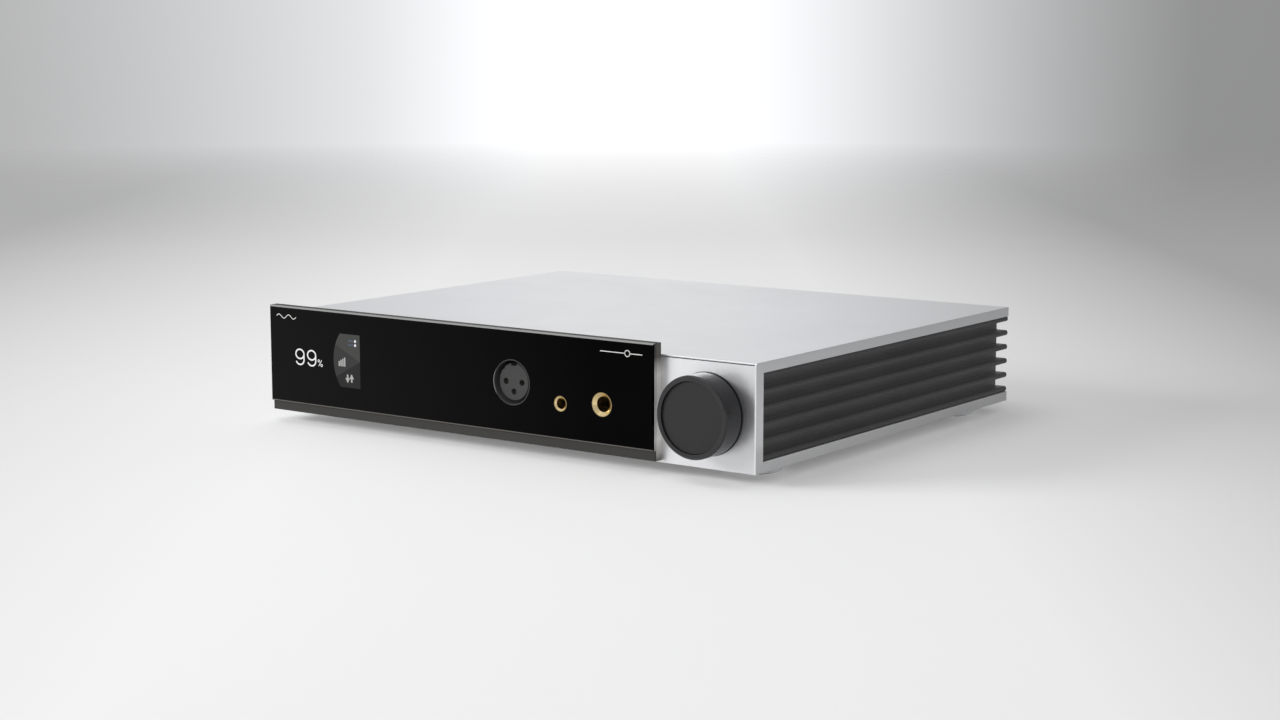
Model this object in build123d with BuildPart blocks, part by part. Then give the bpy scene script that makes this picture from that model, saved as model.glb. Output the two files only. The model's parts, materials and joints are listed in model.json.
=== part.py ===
from build123d import *
import os

# A desktop DAC and headphone amplifier: a low aluminium case with finned sides, a black glass panel
# standing off its front, a large turning and pushing knob, three headphone outlets and a rear panel
# of sockets. Millimetres, +Z up, the front faces -Y, and the origin is at the middle of the base.

# ---------------------------------------------------------------- driving dimensions
CASE_WIDTH = 262.0
CASE_DEPTH = 215.5
CASE_HEIGHT = 43.8
FOOT_HEIGHT = 5.0
KNOB_REACH = 11.4  # the knob's rim ahead of the case's front face
REAR_REACH = 8.6  # the phono sockets' ends behind the case's rear edge

SIDE_WALL = 5.8  # side walls of the shell, and so the depth of the fins
TOP_WALL = 4.2
RAIL_HEIGHT = 4.3  # the strip of side wall under the fins
FRONT_WALL = 5.6
LIP = 0.5  # the thin edge of the shell that frames the front plate
FRONT_GAP = 0.5  # the dark line between that edge and the plate
CORNER_CHAMFER = 0.4
EDGE_CHAMFER = 0.15
FLOOR_WALL = 2.0

GLASS_WIDTH = 213.0
GLASS_RIGHT = 86.1
GLASS_LOW = 10.0
GLASS_HIGH = 53.5
GLASS_THICK = 1.5
GLASS_CHAMFER = 0.6
FRAME_THICK = 3.6
FRAME_LOW = 5.8
FRAME_CHAMFER = 0.3

FIN_COUNT = 6
FIN_THICK = 2.4
FIN_TIP_SETBACK = 0.3
FIN_TIP_ROUND = 1.0
BASE_THICK = 4.5

KNOB_RADIUS = 16.7
KNOB_TRAVEL = 0.5
SHAFT_RADIUS = 3.0
BUSHING_RADIUS = 3.5  # the encoder's threaded neck

XLR_RADIUS = 9.7
XLR_BODY_RADIUS = 11.7
XLR_CORE_RADIUS = 8.05
XLR_PIN_PITCH = 8.5  # between the two side pins
XLR_PIN_DROP = 4.15  # from those to the lowest one
PLUG_635_RADIUS = 3.25
PLUG_44_RADIUS = 2.275
BUSH_635_RADIUS = 5.0
BUSH_44_RADIUS = 3.25
FUNNEL_635_DEPTH = 1.1
FUNNEL_44_DEPTH = 0.5
OUTLET_LOW = 21.5  # the lowest point of all three headphone outlets

ROCKER_TILT = 10.0
BOARD_THICK = 1.6
M6_RADIUS = 3.0
M3_RADIUS = 1.5
M25_RADIUS = 1.2
CLEAR = 0.1  # between pieces that only pass each other
FIT = 0.05  # between pieces that are pushed together
SLIP = 0.03  # between a turned piece and its hole

# ---------------------------------------------------------------- places worked out from them
HALF_WIDTH = CASE_WIDTH / 2
OVERALL_DEPTH = KNOB_REACH + CASE_DEPTH + REAR_REACH
FRONT_Y = KNOB_REACH - OVERALL_DEPTH / 2
REAR_Y = FRONT_Y + CASE_DEPTH
CASE_LOW = FOOT_HEIGHT
CASE_HIGH = FOOT_HEIGHT + CASE_HEIGHT
INNER_HIGH = CASE_HIGH - TOP_WALL
FLOOR_HIGH = CASE_LOW + FLOOR_WALL
INNER_HALF = HALF_WIDTH - SIDE_WALL
INNER_FRONT = FRONT_Y + FRONT_WALL

GLASS_FRONT = FRONT_Y - FRAME_THICK - GLASS_THICK
FRAME_FRONT = FRONT_Y - FRAME_THICK

FIN_LOW = CASE_LOW + RAIL_HEIGHT
FIN_PITCH = (INNER_HIGH - FIN_LOW - FIN_THICK) / (FIN_COUNT - 1)
WEB_X = INNER_HALF - CLEAR
BASE_X = WEB_X - BASE_THICK

KNOB_X = (GLASS_RIGHT + HALF_WIDTH) / 2
KNOB_Z = (CASE_LOW + CASE_HIGH) / 2
XLR_X = 13.5
XLR_Z = OUTLET_LOW + XLR_RADIUS
JACK_44_X = 39.2
JACK_44_Z = OUTLET_LOW + BUSH_44_RADIUS
JACK_635_X = 60.4
JACK_635_Z = OUTLET_LOW + BUSH_635_RADIUS
DISPLAY_X = -91.5
DISPLAY_Z = 32.0
DISPLAY_SIZE = (44.0, 25.0)
WINDOW_SIZE = (47.0, 28.0)  # in the front plate, around the display module
WINDOW_CORNER = 1.5

PANEL_THICK = 2.0
PANEL_FACE = REAR_Y - 1.0  # the outer face of the rear panel
PANEL_BACK = PANEL_FACE - PANEL_THICK
INLET_X = -96.0
SWITCH_X = -62.0
USB_X = -14.0
OPTICAL_X = 4.0
COAX_X = 20.0
PHONO_XS = (34.0, 49.0)
XLR_OUT_XS = (71.5, 98.5)
SOCKET_Z = 26.0  # the middle height of the large rear sockets
PHONO_Z = 23.0
MAIN_BOARD_Z = 12.4
BOARD_TOP = MAIN_BOARD_Z + BOARD_THICK
HEADPHONE_BOARD_Z = 17.9

os.makedirs("parts", exist_ok=True)


def at_y(y):
    """A drawing plane facing the front at that depth: local x is X and local y is Z."""
    return Plane.XZ.offset(-y)


def write(part, name):
    """Labels a finished piece and writes it as its own STEP file."""
    part.label = name
    export_step(part, f"parts/{name}.step")


def block(low, high, mode=Mode.ADD):
    """A box between two corners, in the frame's own coordinates."""
    size = [b - a for a, b in zip(low, high)]
    middle = [(a + b) / 2 for a, b in zip(low, high)]
    with Locations(tuple(middle)):
        return Box(*size, mode=mode)


def rod(x, z, radius, y_from, y_to, mode=Mode.ADD):
    """A cylinder along Y between two depths."""
    with Locations((x, (y_from + y_to) / 2, z)):
        return Cylinder(radius, y_to - y_from, rotation=(90, 0, 0), mode=mode)


# ---------------------------------------------------------------- the case
# The shell is the top and both side walls in one, open to the rear where the fins fill each wall.
with BuildPart() as chassis_shell:
    with BuildSketch(at_y(FRONT_Y)):
        with Locations((0, CASE_LOW)):
            Rectangle(CASE_WIDTH, CASE_HEIGHT, align=(Align.CENTER, Align.MIN))
            Rectangle(
                2 * INNER_HALF,
                CASE_HEIGHT - TOP_WALL,
                align=(Align.CENTER, Align.MIN),
                mode=Mode.SUBTRACT,
            )
    extrude(amount=-CASE_DEPTH)
    block(
        (-HALF_WIDTH + LIP, FRONT_Y, CASE_LOW),
        (HALF_WIDTH - LIP, INNER_FRONT, CASE_HIGH - LIP),
        mode=Mode.SUBTRACT,
    )
    for side in (-1, 1):
        inner, outer = sorted((side * (INNER_HALF - 1), side * (HALF_WIDTH + 1)))
        block(
            (inner, INNER_FRONT, FIN_LOW),
            (outer, REAR_Y + 1, INNER_HIGH),
            mode=Mode.SUBTRACT,
        )
    corners = chassis_shell.edges().filter_by(Axis.Z).group_by(Axis.Y)[0]
    chamfer(corners.group_by(Axis.X)[0] + corners.group_by(Axis.X)[-1], length=CORNER_CHAMFER)
    chamfer(chassis_shell.faces().sort_by(Axis.Z)[-1].edges(), length=EDGE_CHAMFER)
write(chassis_shell.part, "chassis_shell")

with BuildPart() as front_plate:
    block(
        (-HALF_WIDTH + LIP, FRONT_Y, CASE_LOW),
        (HALF_WIDTH - LIP, INNER_FRONT, CASE_HIGH - LIP - FRONT_GAP),
    )
    chamfer(
        front_plate.edges().filter_by(Axis.X).group_by(Axis.Z)[-1].sort_by(Axis.Y)[0],
        length=EDGE_CHAMFER,
    )
    rod(XLR_X, XLR_Z, XLR_BODY_RADIUS + 2 * CLEAR, FRONT_Y, INNER_FRONT, mode=Mode.SUBTRACT)
    rod(JACK_44_X, JACK_44_Z, BUSH_44_RADIUS + CLEAR, FRONT_Y, INNER_FRONT, mode=Mode.SUBTRACT)
    rod(JACK_635_X, JACK_635_Z, BUSH_635_RADIUS + CLEAR, FRONT_Y, INNER_FRONT, mode=Mode.SUBTRACT)
    rod(KNOB_X, KNOB_Z, BUSHING_RADIUS + CLEAR, FRONT_Y, INNER_FRONT, mode=Mode.SUBTRACT)
    with BuildSketch(at_y(FRONT_Y)):
        with Locations((DISPLAY_X, DISPLAY_Z)):
            RectangleRounded(*WINDOW_SIZE, WINDOW_CORNER)
    extrude(amount=-FRONT_WALL, mode=Mode.SUBTRACT)
write(front_plate.part, "front_plate")

# Places on the floor of the case, inset from its edges.
FOOT_SIDE_INSET = 20.0
FOOT_FRONT_INSET = 30.0
FOOT_REAR_INSET = 20.5
FOOT_XS = (-HALF_WIDTH + FOOT_SIDE_INSET, HALF_WIDTH - FOOT_SIDE_INSET)
FOOT_YS = (FRONT_Y + FOOT_FRONT_INSET, REAR_Y - FOOT_REAR_INSET)
PAN_HEAD_RADIUS = 2.8
PAN_HEAD_HEIGHT = 1.6
FLOOR_SCREW_X = WEB_X - 2.7
FLOOR_SCREW_YS = (FRONT_Y + 16.0, (FRONT_Y + REAR_Y) / 2, REAR_Y - 12.0)
SUNK_HEAD_RADIUS = 2.3
TRANSFORMER_X = -70.0
TRANSFORMER_Y = FRONT_Y + 62.0
VENT_MIDDLE_X = 48.0
VENT_ROW_YS = (FRONT_Y + 98.0, FRONT_Y + 166.0)
VENT_PITCH = 9.0
VENT_COUNT = 9
VENT_SIZE = (34.0, 2.6)

# Hex pillars hold the boards: three rows under the main board and two under the power board.
MAIN_PILLARS = [(x, FRONT_Y + y) for x in (-14.0, 110.0) for y in (64.0, 132.0, 186.0)]
POWER_PILLARS = [(x, FRONT_Y + y) for x in (-108.0, -28.0) for y in (118.0, 174.0)]
PILLARS = MAIN_PILLARS + POWER_PILLARS

with BuildPart() as bottom_plate:
    block(
        (-INNER_HALF + CLEAR, INNER_FRONT, CASE_LOW),
        (INNER_HALF - CLEAR, REAR_Y, FLOOR_HIGH),
    )
    # Two rows of vent slots lie under the main board.
    with BuildSketch(Plane.XY.offset(CASE_LOW)):
        for row_y in VENT_ROW_YS:
            with Locations((VENT_MIDDLE_X, row_y)):
                with GridLocations(VENT_PITCH, 0, VENT_COUNT, 1):
                    SlotOverall(*VENT_SIZE, rotation=90)
    extrude(amount=FLOOR_WALL, mode=Mode.SUBTRACT)
    with BuildSketch(Plane.XY.offset(CASE_LOW)):
        with Locations([(x, y) for x in FOOT_XS for y in FOOT_YS]):
            Circle(M3_RADIUS + CLEAR)
        with Locations(PILLARS):
            Circle(M25_RADIUS + CLEAR)
        with Locations((TRANSFORMER_X, TRANSFORMER_Y)):
            Circle(M6_RADIUS + CLEAR)
    extrude(amount=FLOOR_WALL, mode=Mode.SUBTRACT)
    with Locations(
        [Location((s * FLOOR_SCREW_X, y, CASE_LOW), (180, 0, 0)) for s in (-1, 1) for y in FLOOR_SCREW_YS]
    ):
        CounterSinkHole(M25_RADIUS + CLEAR, SUNK_HEAD_RADIUS + CLEAR, depth=FLOOR_WALL)
write(bottom_plate.part, "bottom_plate")

# ---------------------------------------------------------------- the finned sides
PORT_RADIUS = 3.0
PORT_X = BASE_X - PORT_RADIUS - 0.2
PORT_ZS = (11.5, 41.0)
PORT_NECK = (3.6, 4.0)  # the web that joins each port to the base
PORT_THREAD_DEPTH = 16.0
FLOOR_THREAD_DEPTH = 8.0
with BuildPart() as heat_sink_right:
    with BuildSketch(at_y(INNER_FRONT)):
        with Locations((WEB_X, FLOOR_HIGH + CLEAR)):
            Rectangle(BASE_THICK, INNER_HIGH - FLOOR_HIGH - 2 * CLEAR, align=(Align.MAX, Align.MIN))
    extrude(amount=-(REAR_Y - INNER_FRONT))
    with BuildSketch(at_y(INNER_FRONT)) as fins:
        for n in range(FIN_COUNT):
            with Locations((WEB_X, FIN_LOW + n * FIN_PITCH)):
                Rectangle(
                    HALF_WIDTH - FIN_TIP_SETBACK - WEB_X, FIN_THICK, align=(Align.MIN, Align.MIN)
                )
        fillet(fins.vertices().group_by(Axis.X)[-1], radius=FIN_TIP_ROUND)
    extrude(amount=-(REAR_Y - INNER_FRONT))
    # Round screw ports run along the inner face and stop where the rear panel seats.
    with BuildSketch(at_y(INNER_FRONT)):
        with Locations([(PORT_X, z) for z in PORT_ZS]):
            Circle(PORT_RADIUS)
        with Locations([(BASE_X, z) for z in PORT_ZS]):
            Rectangle(*PORT_NECK)
    extrude(amount=-(PANEL_BACK - INNER_FRONT))
    with Locations([Location((PORT_X, PANEL_BACK, z), (-90, 0, 0)) for z in PORT_ZS]):
        Hole(M3_RADIUS, depth=PORT_THREAD_DEPTH)
    with Locations([(FLOOR_SCREW_X, y, FLOOR_HIGH + CLEAR) for y in FLOOR_SCREW_YS]):
        Cylinder(
            M25_RADIUS,
            FLOOR_THREAD_DEPTH,
            align=(Align.CENTER, Align.CENTER, Align.MIN),
            mode=Mode.SUBTRACT,
        )
write(heat_sink_right.part, "heat_sink_right")

with BuildPart() as heat_sink_left:
    mirror(heat_sink_right.part, about=Plane.YZ)
write(heat_sink_left.part, "heat_sink_left")

# ---------------------------------------------------------------- the glass panel and its frame
with BuildPart() as panel_frame:
    block(
        (GLASS_RIGHT - GLASS_WIDTH, FRAME_FRONT, FRAME_LOW),
        (GLASS_RIGHT, FRONT_Y, GLASS_HIGH),
    )
    chamfer(panel_frame.edges().filter_by(Axis.Z).group_by(Axis.Y)[0], length=FRAME_CHAMFER)
    rod(XLR_X, XLR_Z, XLR_RADIUS, FRAME_FRONT, FRONT_Y, mode=Mode.SUBTRACT)
    rod(JACK_44_X, JACK_44_Z, BUSH_44_RADIUS + CLEAR, FRAME_FRONT, FRONT_Y, mode=Mode.SUBTRACT)
    rod(JACK_635_X, JACK_635_Z, BUSH_635_RADIUS + CLEAR, FRAME_FRONT, FRONT_Y, mode=Mode.SUBTRACT)
    with BuildSketch(at_y(FRAME_FRONT)):
        with Locations((DISPLAY_X, DISPLAY_Z)):
            Rectangle(*(size + 4 * CLEAR for size in DISPLAY_SIZE))
    extrude(amount=-FRAME_THICK, mode=Mode.SUBTRACT)
write(panel_frame.part, "panel_frame")

with BuildPart() as front_glass:
    block(
        (GLASS_RIGHT - GLASS_WIDTH, GLASS_FRONT, GLASS_LOW),
        (GLASS_RIGHT, FRAME_FRONT, GLASS_HIGH),
    )
    chamfer(front_glass.faces().sort_by(Axis.Y)[0].edges(), length=GLASS_CHAMFER)
    rod(XLR_X, XLR_Z, XLR_RADIUS, GLASS_FRONT, FRAME_FRONT, mode=Mode.SUBTRACT)
    rod(JACK_44_X, JACK_44_Z, BUSH_44_RADIUS, GLASS_FRONT, FRAME_FRONT, mode=Mode.SUBTRACT)
    rod(JACK_635_X, JACK_635_Z, BUSH_635_RADIUS, GLASS_FRONT, FRAME_FRONT, mode=Mode.SUBTRACT)
write(front_glass.part, "front_glass")

# ---------------------------------------------------------------- the feet
FOOT_RADIUS = 13.0
FOOT_RIM = 2.2  # its upright part, from the case down
FOOT_TAPER = 1.6
FOOT_ROUND = 1.2
FOOT_LIFT = 0.5  # the metal's height above the table
PAD_THICK = 1.2
PAD_RADIUS = 10.0
FOOT_SCREW_POCKET = 1.8  # depth from the pad up


def foot(x, y):
    """A turned aluminium foot, tapering to the table, with a pocket for its pad and screw."""
    with BuildPart() as made:
        with BuildSketch(Plane.XZ) as profile:
            with BuildLine():
                Polyline(
                    (0, CASE_LOW),
                    (FOOT_RADIUS, CASE_LOW),
                    (FOOT_RADIUS, CASE_LOW - FOOT_RIM),
                    (FOOT_RADIUS - FOOT_TAPER, FOOT_LIFT),
                    (0, FOOT_LIFT),
                    close=True,
                )
            make_face()
            fillet(profile.vertices().group_by(Axis.X)[-1].sort_by(Axis.Y)[0], radius=FOOT_ROUND)
        revolve(axis=Axis.Z)
        with Locations((0, 0, FOOT_LIFT)):
            Cylinder(
                PAD_RADIUS + FIT,
                PAD_THICK - FOOT_LIFT,
                align=(Align.CENTER, Align.CENTER, Align.MIN),
                mode=Mode.SUBTRACT,
            )
        with Locations((0, 0, PAD_THICK)):
            Cylinder(
                PAN_HEAD_RADIUS + 2 * CLEAR,
                FOOT_SCREW_POCKET,
                align=(Align.CENTER, Align.CENTER, Align.MIN),
                mode=Mode.SUBTRACT,
            )
        Cylinder(
            M3_RADIUS + CLEAR,
            FOOT_HEIGHT,
            align=(Align.CENTER, Align.CENTER, Align.MIN),
            mode=Mode.SUBTRACT,
        )
    return made.part.moved(Location((x, y, 0)))


for depth_name, foot_y in zip(("front", "rear"), FOOT_YS):
    for side_name, foot_x in zip(("left", "right"), FOOT_XS):
        write(foot(foot_x, foot_y), f"foot_{depth_name}_{side_name}")

with BuildPart() as foot_pads:
    with Locations([(x, y, 0) for x in FOOT_XS for y in FOOT_YS]):
        Cylinder(PAD_RADIUS, PAD_THICK, align=(Align.CENTER, Align.CENTER, Align.MIN))
write(foot_pads.part, "foot_pads")


# ---------------------------------------------------------------- screws
# Shares of the head's own height or radius.
HEAD_ROUND = 0.35
SOCKET_WIDTH = 0.5
SOCKET_DEPTH = 0.55


def pan_screw(radius, head_radius, head_height, length):
    """A pan-head screw along Z with its head below 0, its shank above and a hex socket."""
    with BuildPart() as made:
        Cylinder(radius, length, align=(Align.CENTER, Align.CENTER, Align.MIN))
        Cylinder(head_radius, head_height, align=(Align.CENTER, Align.CENTER, Align.MAX))
        fillet(made.faces().sort_by(Axis.Z)[0].edges(), radius=head_height * HEAD_ROUND)
        with BuildSketch(Plane.XY.offset(-head_height)):
            RegularPolygon(head_radius * SOCKET_WIDTH, 6)
        extrude(amount=head_height * SOCKET_DEPTH, mode=Mode.SUBTRACT)
    return made.part


def sunk_screw(radius, head_radius, length):
    """A countersunk screw along Z with its flat head at 0 and its shank above."""
    with BuildPart() as made:
        with BuildSketch(Plane.XZ):
            with BuildLine():
                Polyline(
                    (0, 0),
                    (head_radius, 0),
                    (radius, head_radius - radius),
                    (radius, length),
                    (0, length),
                    close=True,
                )
            make_face()
        revolve(axis=Axis.Z)
        with BuildSketch(Plane.XY):
            RegularPolygon(radius * 0.75, 6)
        extrude(amount=(head_radius - radius) * 0.9, mode=Mode.SUBTRACT)
    return made.part


FOOT_SCREW_LENGTH = 5.6
FLOOR_SCREW_LENGTH = 7.0
with BuildPart() as underside_screws:
    for x in FOOT_XS:
        for y in FOOT_YS:
            foot_screw = pan_screw(M3_RADIUS, PAN_HEAD_RADIUS, PAN_HEAD_HEIGHT, FOOT_SCREW_LENGTH)
            add(foot_screw.moved(Location((x, y, PAD_THICK + FOOT_SCREW_POCKET))))
    for side in (-1, 1):
        for y in FLOOR_SCREW_YS:
            floor_screw = sunk_screw(M25_RADIUS, SUNK_HEAD_RADIUS, FLOOR_SCREW_LENGTH)
            add(floor_screw.moved(Location((side * FLOOR_SCREW_X, y, CASE_LOW))))
write(underside_screws.part, "underside_screws")

# ---------------------------------------------------------------- the knob and its encoder
# Depths here are measured back from the case's front face.
SEAT_THICK = 0.5
KNOB_BACK = FRONT_Y - 1.1
KNOB_RIM = FRONT_Y - KNOB_REACH
CAP_RADIUS = 14.65
CAP_FACE = KNOB_RIM + 0.9
CAP_THICK = 1.0
KNOB_FLOOR = CAP_FACE + CAP_THICK
CAVITY_FLOOR = KNOB_FLOOR + 1.2
CAVITY_RADIUS = 14.0
BOSS_RADIUS = 6.0
BOSS_BACK = FRONT_Y - 3.3
SET_SCREW_Y = FRONT_Y - 5.2
SET_SCREW_LENGTH = 3.0
SET_SCREW_KEY = 0.85
SEAT_BORE = 9.0
RIM_CHAMFER = 0.6
SKIRT_CHAMFER = 0.3

with BuildPart() as knob:
    rod(KNOB_X, KNOB_Z, KNOB_RADIUS, KNOB_RIM, KNOB_BACK)
    chamfer(knob.edges().filter_by(GeomType.CIRCLE).sort_by(Axis.Y)[0], length=RIM_CHAMFER)
    chamfer(knob.edges().filter_by(GeomType.CIRCLE).sort_by(Axis.Y)[-1], length=SKIRT_CHAMFER)
    rod(KNOB_X, KNOB_Z, CAP_RADIUS, KNOB_RIM, KNOB_FLOOR, mode=Mode.SUBTRACT)
    rod(KNOB_X, KNOB_Z, CAVITY_RADIUS, CAVITY_FLOOR, KNOB_BACK, mode=Mode.SUBTRACT)
    rod(KNOB_X, KNOB_Z, BOSS_RADIUS, CAVITY_FLOOR, BOSS_BACK)
    rod(KNOB_X, KNOB_Z, SHAFT_RADIUS + SLIP, CAVITY_FLOOR, BOSS_BACK, mode=Mode.SUBTRACT)
    # The grub screw's thread in the boss, and the key's hole under the skirt.
    with Locations((KNOB_X, SET_SCREW_Y, KNOB_Z)):
        Cylinder(
            M3_RADIUS,
            KNOB_RADIUS + 1,
            align=(Align.CENTER, Align.CENTER, Align.MAX),
            mode=Mode.SUBTRACT,
        )
write(knob.part, "knob")

with BuildPart() as knob_cap:
    rod(KNOB_X, KNOB_Z, CAP_RADIUS - FIT, CAP_FACE, KNOB_FLOOR)
    chamfer(knob_cap.edges().filter_by(GeomType.CIRCLE).sort_by(Axis.Y)[0], length=0.25)
write(knob_cap.part, "knob_cap")

with BuildPart() as knob_set_screw:
    with Locations((KNOB_X, SET_SCREW_Y, KNOB_Z - SHAFT_RADIUS - FIT)):
        Cylinder(
            M3_RADIUS - SLIP, SET_SCREW_LENGTH, align=(Align.CENTER, Align.CENTER, Align.MAX)
        )
    with BuildSketch(Plane.XY.offset(KNOB_Z - SHAFT_RADIUS - FIT - SET_SCREW_LENGTH)):
        with Locations((KNOB_X, SET_SCREW_Y)):
            RegularPolygon(SET_SCREW_KEY, 6)
    extrude(amount=SET_SCREW_LENGTH / 2, mode=Mode.SUBTRACT)
write(knob_set_screw.part, "knob_set_screw")

with BuildPart() as knob_seat_ring:
    rod(KNOB_X, KNOB_Z, KNOB_RADIUS + 2 * CLEAR, FRONT_Y - SEAT_THICK, FRONT_Y)
    rod(KNOB_X, KNOB_Z, SEAT_BORE, FRONT_Y - SEAT_THICK, FRONT_Y, mode=Mode.SUBTRACT)
write(knob_seat_ring.part, "knob_seat_ring")

ENCODER_FACE = INNER_FRONT + 0.4
ENCODER_BACK = ENCODER_FACE + 7.0
ENCODER_HALF = (6.2, 6.6)
BUSHING_FRONT = FRONT_Y - 2.4
ROTOR_RADIUS = 4.5
ROTOR_FACE = ENCODER_FACE + 1.0
ROTOR_BACK = ENCODER_FACE + 2.2
SHAFT_BACK = ENCODER_FACE + 3.0
PLUNGER_RADIUS = 2.6
PLUNGER_STEP = SHAFT_BACK + 1.4
PLUNGER_WELL = 3.2  # the radius it moves in
ENCODER_WALL = 0.8

with BuildPart() as encoder_body:
    block(
        (KNOB_X - ENCODER_HALF[0], ENCODER_FACE, KNOB_Z - ENCODER_HALF[1]),
        (KNOB_X + ENCODER_HALF[0], ENCODER_BACK, KNOB_Z + ENCODER_HALF[1]),
    )
    rod(KNOB_X, KNOB_Z, BUSHING_RADIUS, BUSHING_FRONT, ENCODER_FACE)
    rod(KNOB_X, KNOB_Z, SHAFT_RADIUS + 2 * SLIP, BUSHING_FRONT, SHAFT_BACK, mode=Mode.SUBTRACT)
    rod(
        KNOB_X,
        KNOB_Z,
        ROTOR_RADIUS + 2 * CLEAR,
        ROTOR_FACE - CLEAR,
        ROTOR_BACK + KNOB_TRAVEL + CLEAR,
        mode=Mode.SUBTRACT,
    )
    rod(KNOB_X, KNOB_Z, PLUNGER_WELL, SHAFT_BACK - 0.2, ENCODER_BACK - ENCODER_WALL, mode=Mode.SUBTRACT)
write(encoder_body.part, "encoder_body")

with BuildPart() as encoder_shaft:
    rod(KNOB_X, KNOB_Z, SHAFT_RADIUS, CAVITY_FLOOR + CLEAR, SHAFT_BACK)
    rod(KNOB_X, KNOB_Z, ROTOR_RADIUS, ROTOR_FACE, ROTOR_BACK)
write(encoder_shaft.part, "encoder_shaft")

with BuildPart() as encoder_plunger:
    rod(KNOB_X, KNOB_Z, PLUNGER_RADIUS, SHAFT_BACK + FIT, PLUNGER_STEP)
    rod(KNOB_X, KNOB_Z, PLUNGER_RADIUS - 1.4, PLUNGER_STEP, PLUNGER_STEP + 1.0)
write(encoder_plunger.part, "encoder_plunger")

NUT_HALF_WIDTH = 5.0
NUT_THICK = 1.8
WASHER_RADIUS = 6.0
WASHER_THICK = 0.4
with BuildPart() as encoder_nut:
    with BuildSketch(at_y(FRONT_Y - WASHER_THICK)):
        with Locations((KNOB_X, KNOB_Z)):
            RegularPolygon(NUT_HALF_WIDTH, 6, major_radius=False)
            Circle(BUSHING_RADIUS + SLIP, mode=Mode.SUBTRACT)
    extrude(amount=NUT_THICK)
    with BuildSketch(at_y(FRONT_Y)):
        with Locations((KNOB_X, KNOB_Z)):
            Circle(WASHER_RADIUS)
            Circle(BUSHING_RADIUS + SLIP, mode=Mode.SUBTRACT)
    extrude(amount=WASHER_THICK)
write(encoder_nut.part, "encoder_nut")

CONTROL_BOARD_XS = (KNOB_X - 14.0, KNOB_X + 5.6)
CONTROL_BOARD_HALF_HEIGHT = 11.4
with BuildPart() as control_board:
    block(
        (CONTROL_BOARD_XS[0], ENCODER_BACK, KNOB_Z - CONTROL_BOARD_HALF_HEIGHT),
        (CONTROL_BOARD_XS[1], ENCODER_BACK + BOARD_THICK, KNOB_Z + CONTROL_BOARD_HALF_HEIGHT),
    )
write(control_board.part, "control_board")

# ---------------------------------------------------------------- the display
SCREEN_THICK = 2.0
SCREEN_FRONT = FRAME_FRONT + CLEAR
MODULE_BACK = INNER_FRONT
with BuildPart() as display_screen:
    block(
        (DISPLAY_X - DISPLAY_SIZE[0] / 2, SCREEN_FRONT, DISPLAY_Z - DISPLAY_SIZE[1] / 2),
        (DISPLAY_X + DISPLAY_SIZE[0] / 2, SCREEN_FRONT + SCREEN_THICK, DISPLAY_Z + DISPLAY_SIZE[1] / 2),
    )
write(display_screen.part, "display_screen")

with BuildPart() as display_module:
    with BuildSketch(at_y(FRONT_Y + CLEAR)):
        with Locations((DISPLAY_X, DISPLAY_Z)):
            RectangleRounded(*(size - 2 * CLEAR for size in WINDOW_SIZE), WINDOW_CORNER - CLEAR)
    extrude(amount=-(MODULE_BACK - FRONT_Y - CLEAR))
    with BuildSketch(at_y(SCREEN_FRONT + SCREEN_THICK)):
        with Locations((DISPLAY_X, DISPLAY_Z)):
            Rectangle(*DISPLAY_SIZE)
    extrude(amount=-(FRONT_Y + CLEAR - SCREEN_FRONT - SCREEN_THICK))
write(display_module.part, "display_module")

# The flat cable stands on edge behind the front plate and turns back to the main board.
RIBBON_WIDTH = 10.0
RIBBON_THICK = 0.3
RIBBON_BEND = 6.0
RIBBON_X = -5.5
RIBBON_Y = MODULE_BACK + 4.0
RIBBON_START = DISPLAY_X + 14.0
RIBBON_END = FRONT_Y + 66.0
with BuildPart() as display_ribbon:
    with BuildSketch(Plane.XY.offset(BOARD_TOP)):
        with BuildLine() as ribbon_route:
            FilletPolyline(
                (RIBBON_START, RIBBON_Y),
                (RIBBON_X, RIBBON_Y),
                (RIBBON_X, RIBBON_END),
                radius=RIBBON_BEND,
            )
        trace(ribbon_route.line, line_width=RIBBON_THICK)
    extrude(amount=RIBBON_WIDTH)
    # A plug at either end: one on the display's back, one on the main board.
    block(
        (RIBBON_START - 5.0, MODULE_BACK, BOARD_TOP + 6.0),
        (RIBBON_START + 1.0, RIBBON_Y + 1.5, BOARD_TOP + RIBBON_WIDTH),
    )
    block(
        (RIBBON_X - 3.0, RIBBON_END - 2.0, BOARD_TOP),
        (RIBBON_X + 3.0, RIBBON_END + 4.0, BOARD_TOP + 8.0),
    )
write(display_ribbon.part, "display_ribbon")

# ---------------------------------------------------------------- the headphone outlets
XLR_CORE_FACE = GLASS_FRONT + 1.6
XLR_FLOOR = INNER_FRONT + 4.0
XLR_BACK = INNER_FRONT + 12.0
XLR_CONTACT_RADIUS = 1.35
XLR_CONTACT_BORE = 1.22
XLR_CONTACT_FACE = XLR_CORE_FACE + 2.5
XLR_SHELL_WALL = 0.4
XLR_CORE_CHAMFER = 0.4
KEYWAY_WIDTH = 3.0
KEYWAY_DEPTH = 1.3


def xlr_spots(x, z):
    """Where the three contacts of an XLR connector sit around its middle."""
    half = XLR_PIN_PITCH / 2
    return [(x - half, z), (x + half, z), (x, z - XLR_PIN_DROP)]


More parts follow.
